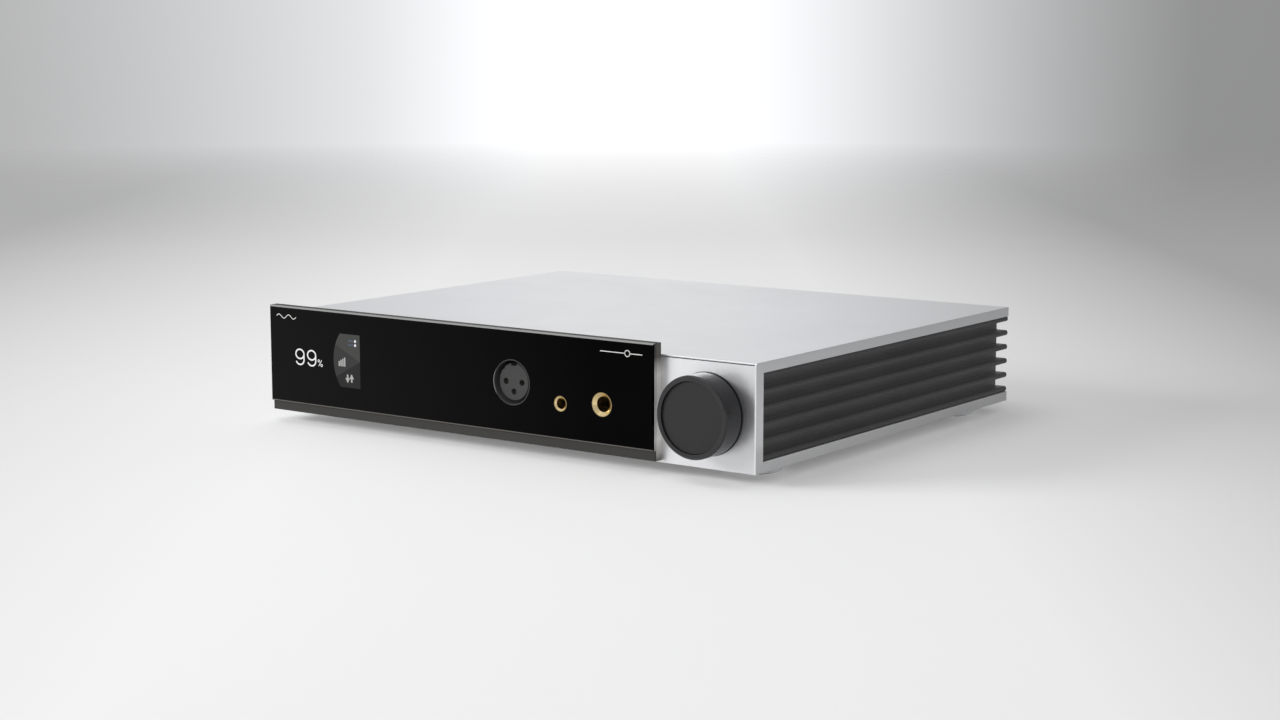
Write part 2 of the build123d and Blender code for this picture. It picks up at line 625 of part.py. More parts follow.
with BuildPart() as xlr_socket_shell:
    rod(XLR_X, XLR_Z, XLR_BODY_RADIUS, FRONT_Y + CLEAR, XLR_BACK)
    rod(XLR_X, XLR_Z, XLR_RADIUS - FIT, GLASS_FRONT + 0.15, FRONT_Y + CLEAR)
    rod(XLR_X, XLR_Z, XLR_RADIUS - XLR_SHELL_WALL, GLASS_FRONT, XLR_FLOOR, mode=Mode.SUBTRACT)
    rod(XLR_X, XLR_Z, XLR_CORE_RADIUS, XLR_FLOOR, XLR_BACK, mode=Mode.SUBTRACT)
write(xlr_socket_shell.part, "xlr_socket_shell")

with BuildPart() as xlr_socket_core:
    rod(XLR_X, XLR_Z, XLR_CORE_RADIUS - SLIP, XLR_CORE_FACE, XLR_BACK)
    chamfer(
        xlr_socket_core.edges().filter_by(GeomType.CIRCLE).sort_by(Axis.Y)[0],
        length=XLR_CORE_CHAMFER,
    )
    # The keyway for the plug, along the top of the core.
    block(
        (XLR_X - KEYWAY_WIDTH / 2, XLR_CORE_FACE - 1, XLR_Z + XLR_CORE_RADIUS - KEYWAY_DEPTH),
        (XLR_X + KEYWAY_WIDTH / 2, XLR_FLOOR, XLR_Z + XLR_CORE_RADIUS + 1),
        mode=Mode.SUBTRACT,
    )
    # A narrower notch beside it, for the latch.
    with Locations(Plane((XLR_X, XLR_CORE_FACE, XLR_Z), x_dir=(1, 0, 1), z_dir=(0, -1, 0))):
        with Locations((0, XLR_CORE_RADIUS)):
            Box(1.2, 1.6, 6.0, mode=Mode.SUBTRACT)
    for spot_x, spot_z in xlr_spots(XLR_X, XLR_Z):
        rod(spot_x, spot_z, XLR_CONTACT_RADIUS, XLR_CORE_FACE, XLR_BACK, mode=Mode.SUBTRACT)
write(xlr_socket_core.part, "xlr_socket_core")

with BuildPart() as xlr_socket_contacts:
    for spot_x, spot_z in xlr_spots(XLR_X, XLR_Z):
        rod(spot_x, spot_z, XLR_CONTACT_RADIUS - SLIP, XLR_CONTACT_FACE, XLR_BACK + 3.0)
    for spot_x, spot_z in xlr_spots(XLR_X, XLR_Z):
        rod(spot_x, spot_z, XLR_CONTACT_BORE, XLR_CONTACT_FACE, XLR_BACK - 2.0, mode=Mode.SUBTRACT)
write(xlr_socket_contacts.part, "xlr_socket_contacts")


BUSH_RIM = 0.33
JACK_WALL = 2.2
# Each housing's width, its depth and how far its bore runs in.
JACK_635_SIZE = (15.0, 26.0, 22.0)
JACK_44_SIZE = (10.0, 18.0, 12.0)


def bush(x, z, outer, bore, funnel_depth):
    """A gold bush, flush with the glass, whose mouth narrows like a funnel from a thin rim to its bore."""
    with BuildPart() as made:
        rod(x, z, outer - SLIP, GLASS_FRONT, INNER_FRONT)
        rod(x, z, bore, GLASS_FRONT, INNER_FRONT, mode=Mode.SUBTRACT)
        with BuildSketch(at_y(GLASS_FRONT)):
            with Locations((x, z)):
                Circle(outer - BUSH_RIM)
        with BuildSketch(at_y(GLASS_FRONT + funnel_depth)):
            with Locations((x, z)):
                Circle(bore)
        loft(mode=Mode.SUBTRACT)
    return made.part


def jack_body(x, z, bore, bush_radius, width, depth, bore_depth):
    """A moulded jack housing behind the front plate, standing on the headphone board."""
    low = HEADPHONE_BOARD_Z + BOARD_THICK
    with BuildPart() as made:
        block(
            (x - width / 2, INNER_FRONT, low),
            (x + width / 2, INNER_FRONT + depth, z + bush_radius + JACK_WALL),
        )
        rod(x, z, bore, INNER_FRONT, INNER_FRONT + bore_depth, mode=Mode.SUBTRACT)
    return made.part


write(
    bush(JACK_635_X, JACK_635_Z, BUSH_635_RADIUS, PLUG_635_RADIUS, FUNNEL_635_DEPTH),
    "jack_635_bush",
)
write(
    jack_body(JACK_635_X, JACK_635_Z, PLUG_635_RADIUS, BUSH_635_RADIUS, *JACK_635_SIZE),
    "jack_635_body",
)
write(
    bush(JACK_44_X, JACK_44_Z, BUSH_44_RADIUS, PLUG_44_RADIUS, FUNNEL_44_DEPTH),
    "jack_44_bush",
)
write(
    jack_body(JACK_44_X, JACK_44_Z, PLUG_44_RADIUS, BUSH_44_RADIUS, *JACK_44_SIZE),
    "jack_44_body",
)

HEADPHONE_BOARD_LOW = (-4.0, INNER_FRONT + 1.0, HEADPHONE_BOARD_Z)
HEADPHONE_BOARD_HIGH = (72.0, INNER_FRONT + 44.0, HEADPHONE_BOARD_Z + BOARD_THICK)
with BuildPart() as headphone_board:
    block(HEADPHONE_BOARD_LOW, HEADPHONE_BOARD_HIGH)
write(headphone_board.part, "headphone_board")

# ---------------------------------------------------------------- boards, supply and fixings
MAIN_BOARD_LOW = (-20.0, FRONT_Y + 58.0, MAIN_BOARD_Z)
MAIN_BOARD_HIGH = (114.0, FRONT_Y + 209.0, BOARD_TOP)
POWER_BOARD_LOW = (-113.0, FRONT_Y + 113.0, MAIN_BOARD_Z)
POWER_BOARD_HIGH = (-23.0, FRONT_Y + 179.0, BOARD_TOP)
PILLAR_HALF_WIDTH = 2.75
BOARD_SCREW_LENGTH = 4.5
BOARD_SCREW_HEAD = (2.3, 1.5)

with BuildPart() as main_board:
    block(MAIN_BOARD_LOW, MAIN_BOARD_HIGH)
    with Locations([(x, y, MAIN_BOARD_Z) for x, y in MAIN_PILLARS]):
        Cylinder(M25_RADIUS + CLEAR, 3 * BOARD_THICK, mode=Mode.SUBTRACT)
write(main_board.part, "main_board")

with BuildPart() as power_board:
    block(POWER_BOARD_LOW, POWER_BOARD_HIGH)
    with Locations([(x, y, MAIN_BOARD_Z) for x, y in POWER_PILLARS]):
        Cylinder(M25_RADIUS + CLEAR, 3 * BOARD_THICK, mode=Mode.SUBTRACT)
write(power_board.part, "power_board")

with BuildPart() as standoffs:
    with BuildSketch(Plane.XY.offset(FLOOR_HIGH)):
        with Locations(PILLARS):
            RegularPolygon(PILLAR_HALF_WIDTH, 6, major_radius=False)
            Circle(M25_RADIUS + SLIP, mode=Mode.SUBTRACT)
    extrude(amount=MAIN_BOARD_Z - FLOOR_HIGH)
    # Four tall pillars carry the headphone board.
    with BuildSketch(Plane.XY.offset(FLOOR_HIGH)):
        with Locations([(x, INNER_FRONT + y) for x in (0.0, 68.0) for y in (6.0, 38.0)]):
            RegularPolygon(PILLAR_HALF_WIDTH, 6, major_radius=False)
    extrude(amount=HEADPHONE_BOARD_Z - FLOOR_HIGH)
write(standoffs.part, "standoffs")

with BuildPart() as internal_screws:
    for x, y in PILLARS:
        down = Location((x, y, BOARD_TOP), (180, 0, 0))
        add(pan_screw(M25_RADIUS, *BOARD_SCREW_HEAD, BOARD_SCREW_LENGTH).moved(down))
write(internal_screws.part, "internal_screws")

COIL_LOW = FLOOR_HIGH + 1.0
COIL_HEIGHT = 28.0
COIL_HIGH = COIL_LOW + COIL_HEIGHT
COIL_RING_RADIUS = 29.5
COIL_SECTION_WIDTH = 29.0
COIL_SECTION_ROUND = 7.0
CLAMP_THICK = 1.5
CLAMP_CUP = COIL_HIGH - 4.0  # the floor of the dished middle
CLAMP_RADIUS = 27.0
with BuildPart() as transformer_coil:
    with BuildSketch(Plane.XZ):
        with Locations((COIL_RING_RADIUS, COIL_LOW + COIL_HEIGHT / 2)):
            RectangleRounded(COIL_SECTION_WIDTH, COIL_HEIGHT, COIL_SECTION_ROUND)
    revolve(axis=Axis.Z)
transformer_coil.part.locate(Location((TRANSFORMER_X, TRANSFORMER_Y, 0)))
write(transformer_coil.part, "transformer_coil")

with BuildPart() as transformer_clamp:
    with BuildSketch(Plane.XZ):
        with BuildLine():
            Polyline(
                (0, CLAMP_CUP),
                (13.0, CLAMP_CUP),
                (17.0, COIL_HIGH),
                (CLAMP_RADIUS, COIL_HIGH),
                (CLAMP_RADIUS, COIL_HIGH + CLAMP_THICK),
                (16.4, COIL_HIGH + CLAMP_THICK),
                (12.4, CLAMP_CUP + CLAMP_THICK),
                (0, CLAMP_CUP + CLAMP_THICK),
                close=True,
            )
        make_face()
    revolve(axis=Axis.Z)
    Cylinder(M6_RADIUS + CLEAR, 2 * CASE_HIGH, mode=Mode.SUBTRACT)
transformer_clamp.part.locate(Location((TRANSFORMER_X, TRANSFORMER_Y, 0)))
write(transformer_clamp.part, "transformer_clamp")

BOLT_HEAD = (5.0, 2.2)
BOLT_LENGTH = 33.5
BOLT_NUT_THICK = 4.0
with BuildPart() as transformer_bolt:
    with Locations((TRANSFORMER_X, TRANSFORMER_Y, 0)):
        add(pan_screw(M6_RADIUS, *BOLT_HEAD, BOLT_LENGTH).moved(Location((0, 0, CASE_LOW))))
    with BuildSketch(Plane.XY.offset(CLAMP_CUP + CLAMP_THICK)):
        with Locations((TRANSFORMER_X, TRANSFORMER_Y)):
            RegularPolygon(BOLT_HEAD[0], 6, major_radius=False)
            Circle(M6_RADIUS + SLIP, mode=Mode.SUBTRACT)
    extrude(amount=BOLT_NUT_THICK)
write(transformer_bolt.part, "transformer_bolt")

CAPACITOR_RADIUS = 8.0
CAPACITOR_HEIGHT = 25.0
CAPACITOR_ROUND = 0.8
CAPACITOR_SPOTS = [(x, FRONT_Y + y) for x in (-98.0, -78.0, -58.0, -38.0) for y in (130.0, 152.0)]
with BuildPart() as filter_capacitors:
    with BuildSketch(Plane.XY.offset(BOARD_TOP)):
        with Locations(CAPACITOR_SPOTS):
            Circle(CAPACITOR_RADIUS)
    extrude(amount=CAPACITOR_HEIGHT)
    fillet(filter_capacitors.faces().group_by(Axis.Z)[-1].edges(), radius=CAPACITOR_ROUND)
write(filter_capacitors.part, "filter_capacitors")

LARGE_CHIP = 14.0
LARGE_CHIP_SPOTS = [(10.0, FRONT_Y + 168.0), (72.0, FRONT_Y + 118.0)]
SMALL_CHIP_SIZE = (5.0, 6.2)
CHIP_HEIGHT = 1.6
RELAY_SIZE = (10.0, 15.0)
RELAY_HEIGHT = 10.0
with BuildPart() as board_chips:
    with BuildSketch(Plane.XY.offset(BOARD_TOP)):
        with Locations(LARGE_CHIP_SPOTS):
            Rectangle(LARGE_CHIP, LARGE_CHIP)
        with Locations((48.0, FRONT_Y + 96.0)):
            with GridLocations(16.0, 20.0, 4, 2):
                Rectangle(*SMALL_CHIP_SIZE)
    extrude(amount=CHIP_HEIGHT)
    # Output relays stand in a row behind the balanced sockets.
    with BuildSketch(Plane.XY.offset(BOARD_TOP)):
        with Locations((72.0, FRONT_Y + 158.0)):
            with GridLocations(17.0, 0, 4, 1):
                Rectangle(*RELAY_SIZE)
    extrude(amount=RELAY_HEIGHT)
write(board_chips.part, "board_chips")

# ---------------------------------------------------------------- the rear panel
INLET_SIZE = (27.4, 32.4)
SWITCH_SIZE = (12.8, 18.8)
USB_SIZE = (12.0, 11.0)
OPTICAL_SIZE = (10.0, 10.4)
PANEL_FLANGE = 1.6  # of the optical and balanced sockets
PHONO_RADIUS = 4.15
PHONO_SPOTS = [(x, PHONO_Z) for x in (COAX_X, *PHONO_XS)]
XLR_OUT_BODY = 11.8
XLR_SCREW_OFFSETS = ((-9.5, 12.0), (9.5, -12.0))
REAR_SCREW_SPOTS = [(side * PORT_X, z) for side in (-1, 1) for z in PORT_ZS]

with BuildPart() as rear_panel:
    block(
        (-BASE_X + CLEAR, PANEL_BACK, FLOOR_HIGH + CLEAR),
        (BASE_X - CLEAR, PANEL_FACE, INNER_HIGH - CLEAR),
    )
    with BuildSketch(at_y(PANEL_BACK)):
        with Locations((INLET_X, SOCKET_Z)):
            Rectangle(*(size + 2 * CLEAR for size in INLET_SIZE))
        with Locations((SWITCH_X, SOCKET_Z)):
            Rectangle(*(size + 2 * CLEAR for size in SWITCH_SIZE))
        with Locations((USB_X, BOARD_TOP + USB_SIZE[1] / 2)):
            Rectangle(*(size + 3 * CLEAR for size in USB_SIZE))
        with Locations((OPTICAL_X, BOARD_TOP + OPTICAL_SIZE[1] / 2)):
            Rectangle(*(size + 2 * CLEAR for size in OPTICAL_SIZE))
        with Locations(PHONO_SPOTS):
            Circle(PHONO_RADIUS + CLEAR)
        with Locations([(x, SOCKET_Z) for x in XLR_OUT_XS]):
            Circle(XLR_OUT_BODY + CLEAR)
        for x in XLR_OUT_XS:
            with Locations([(x + dx, SOCKET_Z + dz) for dx, dz in XLR_SCREW_OFFSETS]):
                Circle(M3_RADIUS + CLEAR)
        with Locations(REAR_SCREW_SPOTS):
            Circle(M3_RADIUS + CLEAR)
    extrude(amount=-PANEL_THICK, mode=Mode.SUBTRACT)
write(rear_panel.part, "rear_panel")

PANEL_SCREW_LENGTH = 9.0
SOCKET_SCREW_HEAD = (2.6, 1.3)
SOCKET_SCREW_LENGTH = 7.0
with BuildPart() as rear_screws:
    for x, z in REAR_SCREW_SPOTS:
        panel_screw = pan_screw(M3_RADIUS - SLIP, PAN_HEAD_RADIUS, PAN_HEAD_HEIGHT, PANEL_SCREW_LENGTH)
        add(panel_screw.moved(Location((x, PANEL_FACE, z), (90, 0, 0))))
    for x in XLR_OUT_XS:
        for dx, dz in XLR_SCREW_OFFSETS:
            spot = Location((x + dx, PANEL_FACE + PANEL_FLANGE, SOCKET_Z + dz), (90, 0, 0))
            add(pan_screw(M3_RADIUS - SLIP, *SOCKET_SCREW_HEAD, SOCKET_SCREW_LENGTH).moved(spot))
write(rear_screws.part, "rear_screws")

# The mains inlet: a moulded body with the plug's recess above and the fuse drawer's bay below.
INLET_FLANGE = 2.4
INLET_FLANGE_SIZE = (31.0, 35.0)
INLET_FLANGE_CORNER = 2.0
INLET_BACK = PANEL_BACK - 19.0
RECESS_SIZE = (24.4, 16.6)
RECESS_CORNER = 4.0
RECESS_Z = SOCKET_Z + 4.8
INLET_FACE = PANEL_FACE + INLET_FLANGE
RECESS_FLOOR = INLET_FACE - 17.0
DRAWER_SIZE = (22.0, 8.0)
DRAWER_Z = SOCKET_Z - 10.2
DRAWER_DEPTH = 16.0
BLADE_SPOTS = ((-7.0, -2.0), (7.0, -2.0), (0.0, 2.0))
BLADE_HALF = (1.0, 2.0)
BLADE_REACH = 12.5
BLADE_TAIL = 7.0

with BuildPart() as mains_inlet:
    with BuildSketch(at_y(INLET_BACK)):
        with Locations((INLET_X, SOCKET_Z)):
            Rectangle(*INLET_SIZE)
    extrude(amount=-(PANEL_FACE - INLET_BACK))
    with BuildSketch(at_y(PANEL_FACE)):
        with Locations((INLET_X, SOCKET_Z)):
            RectangleRounded(*INLET_FLANGE_SIZE, INLET_FLANGE_CORNER)
    extrude(amount=-INLET_FLANGE)
    with BuildSketch(at_y(RECESS_FLOOR)) as recess:
        with Locations((INLET_X, RECESS_Z)):
            Rectangle(*RECESS_SIZE)
        chamfer(recess.vertices().group_by(Axis.Y)[-1], length=RECESS_CORNER)
    extrude(amount=-(INLET_FACE - RECESS_FLOOR), mode=Mode.SUBTRACT)
    block(
        (INLET_X - DRAWER_SIZE[0] / 2, INLET_FACE - DRAWER_DEPTH, DRAWER_Z - DRAWER_SIZE[1] / 2),
        (INLET_X + DRAWER_SIZE[0] / 2, INLET_FACE, DRAWER_Z + DRAWER_SIZE[1] / 2),
        mode=Mode.SUBTRACT,
    )
    for dx, dz in BLADE_SPOTS:
        block(
            (INLET_X + dx - BLADE_HALF[0], INLET_BACK, RECESS_Z + dz - BLADE_HALF[1]),
            (INLET_X + dx + BLADE_HALF[0], RECESS_FLOOR, RECESS_Z + dz + BLADE_HALF[1]),
            mode=Mode.SUBTRACT,
        )
write(mains_inlet.part, "mains_inlet")

with BuildPart() as mains_pins:
    half_width, half_height = (half - SLIP for half in BLADE_HALF)
    for dx, dz in BLADE_SPOTS:
        block(
            (INLET_X + dx - half_width, INLET_BACK - BLADE_TAIL, RECESS_Z + dz - half_height),
            (INLET_X + dx + half_width, RECESS_FLOOR + BLADE_REACH, RECESS_Z + dz + half_height),
        )
    chamfer(mains_pins.faces().group_by(Axis.Y)[-1].edges(), length=0.5)
write(mains_pins.part, "mains_pins")

DRAWER_GAP = 0.15
DRAWER_PROUD = 0.8  # its face ahead of the inlet's
CRADLE_HALF_WIDTH = 10.2
FUSE_RADIUS = 2.6
FUSE_LENGTH = 20.0
FUSE_Y = PANEL_FACE - 8.5
with BuildPart() as fuse_drawer:
    half_width, half_height = (size / 2 - DRAWER_GAP for size in DRAWER_SIZE)
    block(
        (INLET_X - half_width, INLET_FACE - DRAWER_DEPTH + 0.5, DRAWER_Z - half_height),
        (INLET_X + half_width, INLET_FACE + DRAWER_PROUD, DRAWER_Z + half_height),
    )
    chamfer(fuse_drawer.faces().sort_by(Axis.Y)[-1].edges(), length=0.4)
    # A finger notch in its face, and the cradle for the fuse behind.
    with BuildSketch(Plane.XY.offset(DRAWER_Z - 4.0)):
        with Locations((INLET_X, INLET_FACE + 1.8)):
            Circle(3.0)
    extrude(amount=2.2, mode=Mode.SUBTRACT)
    block(
        (INLET_X - CRADLE_HALF_WIDTH, FUSE_Y - 3.5, DRAWER_Z - FUSE_RADIUS - CLEAR),
        (INLET_X + CRADLE_HALF_WIDTH, FUSE_Y + 3.5, DRAWER_Z + 5.0),
        mode=Mode.SUBTRACT,
    )
write(fuse_drawer.part, "fuse_drawer")

with BuildPart() as fuse:
    with Locations((INLET_X, FUSE_Y, DRAWER_Z)):
        Cylinder(FUSE_RADIUS, FUSE_LENGTH, rotation=(0, 90, 0))
write(fuse.part, "fuse")

# The power switch: a rocker that rests tipped to its off side.
PIVOT_Y = PANEL_FACE - 1.0
PIVOT_RADIUS = 1.2
ROCKER_RADIUS = 8.0
ROCKER_HALF_WIDTH = 4.9
ROCKER_WELL_HALF = (5.1, 8.3)
SWITCH_BACK = PANEL_BACK - 14.0
BEZEL_SIZE = (15.0, 21.0)
BEZEL_CORNER = 1.2
BEZEL_THICK = 1.8
with BuildPart() as switch_housing:
    with BuildSketch(at_y(SWITCH_BACK)):
        with Locations((SWITCH_X, SOCKET_Z)):
            Rectangle(*SWITCH_SIZE)
    extrude(amount=-(PANEL_FACE - SWITCH_BACK))
    with BuildSketch(at_y(PANEL_FACE)):
        with Locations((SWITCH_X, SOCKET_Z)):
            RectangleRounded(*BEZEL_SIZE, BEZEL_CORNER)
    extrude(amount=-BEZEL_THICK)
    block(
        (SWITCH_X - ROCKER_WELL_HALF[0], PIVOT_Y - 8.6, SOCKET_Z - ROCKER_WELL_HALF[1]),
        (SWITCH_X + ROCKER_WELL_HALF[0], PANEL_FACE + BEZEL_THICK, SOCKET_Z + ROCKER_WELL_HALF[1]),
        mode=Mode.SUBTRACT,
    )
    with Locations((SWITCH_X, PIVOT_Y, SOCKET_Z)):
        Cylinder(PIVOT_RADIUS + FIT, 12.0, rotation=(0, 90, 0), mode=Mode.SUBTRACT)
write(switch_housing.part, "switch_housing")

# Drawn across the pivot: local x points out of the panel and local y up, both tipped back at rest.
rocker_plane = Plane(
    (SWITCH_X - ROCKER_HALF_WIDTH, PIVOT_Y, SOCKET_Z), x_dir=(0, 1, 0), z_dir=(1, 0, 0)
).rotated((-ROCKER_TILT, 0, 0))
with BuildPart() as switch_rocker:
    with BuildSketch(rocker_plane):
        Circle(ROCKER_RADIUS)
        with BuildSketch(mode=Mode.INTERSECT):
            with BuildLine():
                Polyline((-4.0, -9.0), (4.6, -9.0), (3.1, 0), (4.6, 9.0), (-4.0, 9.0), close=True)
            make_face()
    extrude(amount=2 * ROCKER_HALF_WIDTH)
    with Locations((SWITCH_X, PIVOT_Y, SOCKET_Z)):
        Cylinder(PIVOT_RADIUS, 11.8, rotation=(0, 90, 0))
write(switch_rocker.part, "switch_rocker")

# ---------------------------------------------------------------- data sockets
USB_FACE = PANEL_FACE + 0.5
USB_Z = BOARD_TOP + USB_SIZE[1] / 2
USB_MOUTH_SIZE = (8.6, 7.9)
USB_MOUTH_CORNER = 1.6
USB_MOUTH_DEPTH = 11.0
with BuildPart() as usb_socket:
    block(
        (USB_X - USB_SIZE[0] / 2, PANEL_FACE - 16.0, BOARD_TOP),
        (USB_X + USB_SIZE[0] / 2, USB_FACE, BOARD_TOP + USB_SIZE[1]),
    )
    with BuildSketch(at_y(USB_FACE)) as usb_mouth:
        with Locations((USB_X, USB_Z)):
            Rectangle(*USB_MOUTH_SIZE)
        chamfer(usb_mouth.vertices().group_by(Axis.Y)[-1], length=USB_MOUTH_CORNER)
    extrude(amount=USB_MOUTH_DEPTH, mode=Mode.SUBTRACT)
write(usb_socket.part, "usb_socket")

with BuildPart() as usb_tongue:
    block(
        (USB_X - 2.8, USB_FACE - USB_MOUTH_DEPTH, USB_Z - 1.4),
        (USB_X + 2.8, PANEL_FACE - 1.6, USB_Z + 1.6),
    )
    chamfer(usb_tongue.faces().sort_by(Axis.Y)[-1].edges(), length=0.4)
write(usb_tongue.part, "usb_tongue")

OPTICAL_MOUTH = PANEL_FACE + PANEL_FLANGE
OPTICAL_WELL_HALF_WIDTH = 4.1
OPTICAL_WELL_ZS = (BOARD_TOP + 1.4, BOARD_TOP + 9.2)
SHUTTER_TOP = BOARD_TOP + 8.6
SHUTTER_Y = OPTICAL_MOUTH - 0.9
SHUTTER_HALF_THICK = 0.4
with BuildPart() as optical_socket:
    block(
        (OPTICAL_X - OPTICAL_SIZE[0] / 2, PANEL_FACE - 14.0, BOARD_TOP),
        (OPTICAL_X + OPTICAL_SIZE[0] / 2, OPTICAL_MOUTH, BOARD_TOP + OPTICAL_SIZE[1]),
    )
    block(
        (OPTICAL_X - OPTICAL_WELL_HALF_WIDTH, PANEL_FACE - 11.0, OPTICAL_WELL_ZS[0]),
        (OPTICAL_X + OPTICAL_WELL_HALF_WIDTH, OPTICAL_MOUTH, OPTICAL_WELL_ZS[1]),
        mode=Mode.SUBTRACT,
    )
    with Locations((OPTICAL_X, SHUTTER_Y, SHUTTER_TOP)):
        Cylinder(SHUTTER_HALF_THICK + FIT, 9.4, rotation=(0, 90, 0), mode=Mode.SUBTRACT)
write(optical_socket.part, "optical_socket")

with BuildPart() as optical_shutter:
    block(
        (OPTICAL_X - 3.9, SHUTTER_Y - SHUTTER_HALF_THICK, OPTICAL_WELL_ZS[0] + 0.3),
        (OPTICAL_X + 3.9, SHUTTER_Y + SHUTTER_HALF_THICK, SHUTTER_TOP),
    )
    with Locations((OPTICAL_X, SHUTTER_Y, SHUTTER_TOP)):
        Cylinder(SHUTTER_HALF_THICK, 9.2, rotation=(0, 90, 0))
write(optical_shutter.part, "optical_shutter")

# ---------------------------------------------------------------- phono sockets
PHONO_BORE = 3.3
PHONO_FLANGE_RADIUS = 6.0
PHONO_FLANGE_FACE = PANEL_FACE + 1.2
PHONO_TAIL = PANEL_BACK - 6.0
PHONO_END = REAR_Y + REAR_REACH
PHONO_PIN_HOLE = 1.65
with BuildPart() as phono_shells:
    for x, z in PHONO_SPOTS:
        rod(x, z, PHONO_RADIUS, PHONO_TAIL, PHONO_END)
        rod(x, z, PHONO_FLANGE_RADIUS, PANEL_FACE, PHONO_FLANGE_FACE)
    for x, z in PHONO_SPOTS:
        rod(x, z, PHONO_BORE, PHONO_TAIL, PHONO_END, mode=Mode.SUBTRACT)
write(phono_shells.part, "phono_shells")

with BuildPart() as phono_insulators:
    for x, z in PHONO_SPOTS:
        rod(x, z, PHONO_BORE - SLIP, PHONO_TAIL, PHONO_END - 0.6)
    for x, z in PHONO_SPOTS:
        rod(x, z, PHONO_PIN_HOLE, REAR_Y - 4.0, PHONO_END, mode=Mode.SUBTRACT)
write(phono_insulators.part, "phono_insulators")

# ---------------------------------------------------------------- balanced outputs
XLR_OUT_FACE = PANEL_FACE + PANEL_FLANGE
XLR_OUT_FLOOR = XLR_OUT_FACE - 14.5
XLR_OUT_BACK = PANEL_BACK - 17.0
BARREL_RADIUS = 8.25
XLR_FLANGE_SIZE = (26.0, 31.0)
XLR_FLANGE_CORNER = 2.5
XLR_PIN_RADIUS = 1.2


def balanced_output(x):
    """A flanged XLR plug housing, its barrel open to the rear around three pins."""
    with BuildPart() as made:
        with BuildSketch(at_y(PANEL_FACE)):
            with Locations((x, SOCKET_Z)):
                RectangleRounded(*XLR_FLANGE_SIZE, XLR_FLANGE_CORNER)
            with Locations([(x + dx, SOCKET_Z + dz) for dx, dz in XLR_SCREW_OFFSETS]):
                Circle(M3_RADIUS + CLEAR, mode=Mode.SUBTRACT)
        extrude(amount=-PANEL_FLANGE)
        rod(x, SOCKET_Z, XLR_OUT_BODY, XLR_OUT_BACK, XLR_OUT_FACE)
        rod(x, SOCKET_Z, BARREL_RADIUS, XLR_OUT_FLOOR, XLR_OUT_FACE, mode=Mode.SUBTRACT)
        for spot_x, spot_z in xlr_spots(x, SOCKET_Z):
            rod(spot_x, spot_z, XLR_PIN_RADIUS, XLR_OUT_BACK, XLR_OUT_FLOOR, mode=Mode.SUBTRACT)
    return made.part


for side_name, socket_x in zip(("left", "right"), XLR_OUT_XS):
    write(balanced_output(socket_x), f"xlr_out_{side_name}")

with BuildPart() as xlr_out_pins:
    for x in XLR_OUT_XS:
        for spot_x, spot_z in xlr_spots(x, SOCKET_Z):
            rod(spot_x, spot_z, XLR_PIN_RADIUS - SLIP, XLR_OUT_BACK - 3.0, XLR_OUT_FACE - 2.5)
write(xlr_out_pins.part, "xlr_out_pins")

# ---------------------------------------------------------------- mains wiring
# Two leads run forward from the inlet's outer blades and down to the power board.
WIRE_RADIUS = 1.3
WIRE_RUN = 9.0
WIRE_BEND = 5.0
with BuildPart() as mains_wires:
    for dx, dz in BLADE_SPOTS[:2]:
        start = (INLET_X + dx, INLET_BACK - BLADE_TAIL, RECESS_Z + dz)
        with BuildLine() as wire_route:
            FilletPolyline(
                start,
                (start[0], start[1] - WIRE_RUN, start[2]),
                (start[0], start[1] - WIRE_RUN, BOARD_TOP),
                radius=WIRE_BEND,
            )
        with BuildSketch(Plane(start, z_dir=(0, -1, 0))):
            Circle(WIRE_RADIUS)
        sweep(path=wire_route.line)
write(mains_wires.part, "mains_wires")
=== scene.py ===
import bpy
import bmesh
import json
import math
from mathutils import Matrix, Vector


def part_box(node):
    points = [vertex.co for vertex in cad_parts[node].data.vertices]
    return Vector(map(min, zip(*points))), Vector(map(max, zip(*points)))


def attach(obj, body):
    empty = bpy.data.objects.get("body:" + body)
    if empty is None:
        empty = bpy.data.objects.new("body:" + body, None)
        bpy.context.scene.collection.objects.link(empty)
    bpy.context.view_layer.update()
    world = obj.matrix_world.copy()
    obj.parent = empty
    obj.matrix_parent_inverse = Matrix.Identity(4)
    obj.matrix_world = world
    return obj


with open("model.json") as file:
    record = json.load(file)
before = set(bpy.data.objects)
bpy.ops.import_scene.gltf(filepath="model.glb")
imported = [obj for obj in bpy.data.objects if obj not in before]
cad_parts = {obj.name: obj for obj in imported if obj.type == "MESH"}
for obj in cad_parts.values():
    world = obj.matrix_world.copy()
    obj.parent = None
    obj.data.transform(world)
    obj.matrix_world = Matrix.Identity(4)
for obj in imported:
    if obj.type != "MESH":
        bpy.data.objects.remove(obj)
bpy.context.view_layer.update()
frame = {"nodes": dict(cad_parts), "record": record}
NODES = frame["nodes"]
MM = 0.001
RIGHT, REAR, UP = (1, 0, 0), (0, 1, 0), (0, 0, 1)
LEFT, FRONT, DOWN = (-1, 0, 0), (0, -1, 0), (0, 0, -1)
BACKDROP_TURN = math.radians(35.84)  # from the object's rear round to the backdrop behind it
ACROSS_BACKDROP = (math.cos(BACKDROP_TURN), math.sin(BACKDROP_TURN), 0)
INTO_BACKDROP = (-math.sin(BACKDROP_TURN), math.cos(BACKDROP_TURN), 0)


# ---------------------------------------------------------------- camera, floor and light
def make_camera():
    """The reference view: from the front right, a little above, with a long lens."""
    pitch = 8.58
    data = bpy.data.cameras.new("view_camera")
    data.lens = 62.71
    data.sensor_width = 36.0
    data.clip_start = 0.01
    camera = bpy.data.objects.new("view_camera", data)
    camera.location = (0.5931, -0.8226, 0.1788)
    camera.rotation_euler = (math.radians(90 - pitch), 0, BACKDROP_TURN)
    bpy.context.scene.collection.objects.link(camera)
    bpy.context.scene.camera = camera


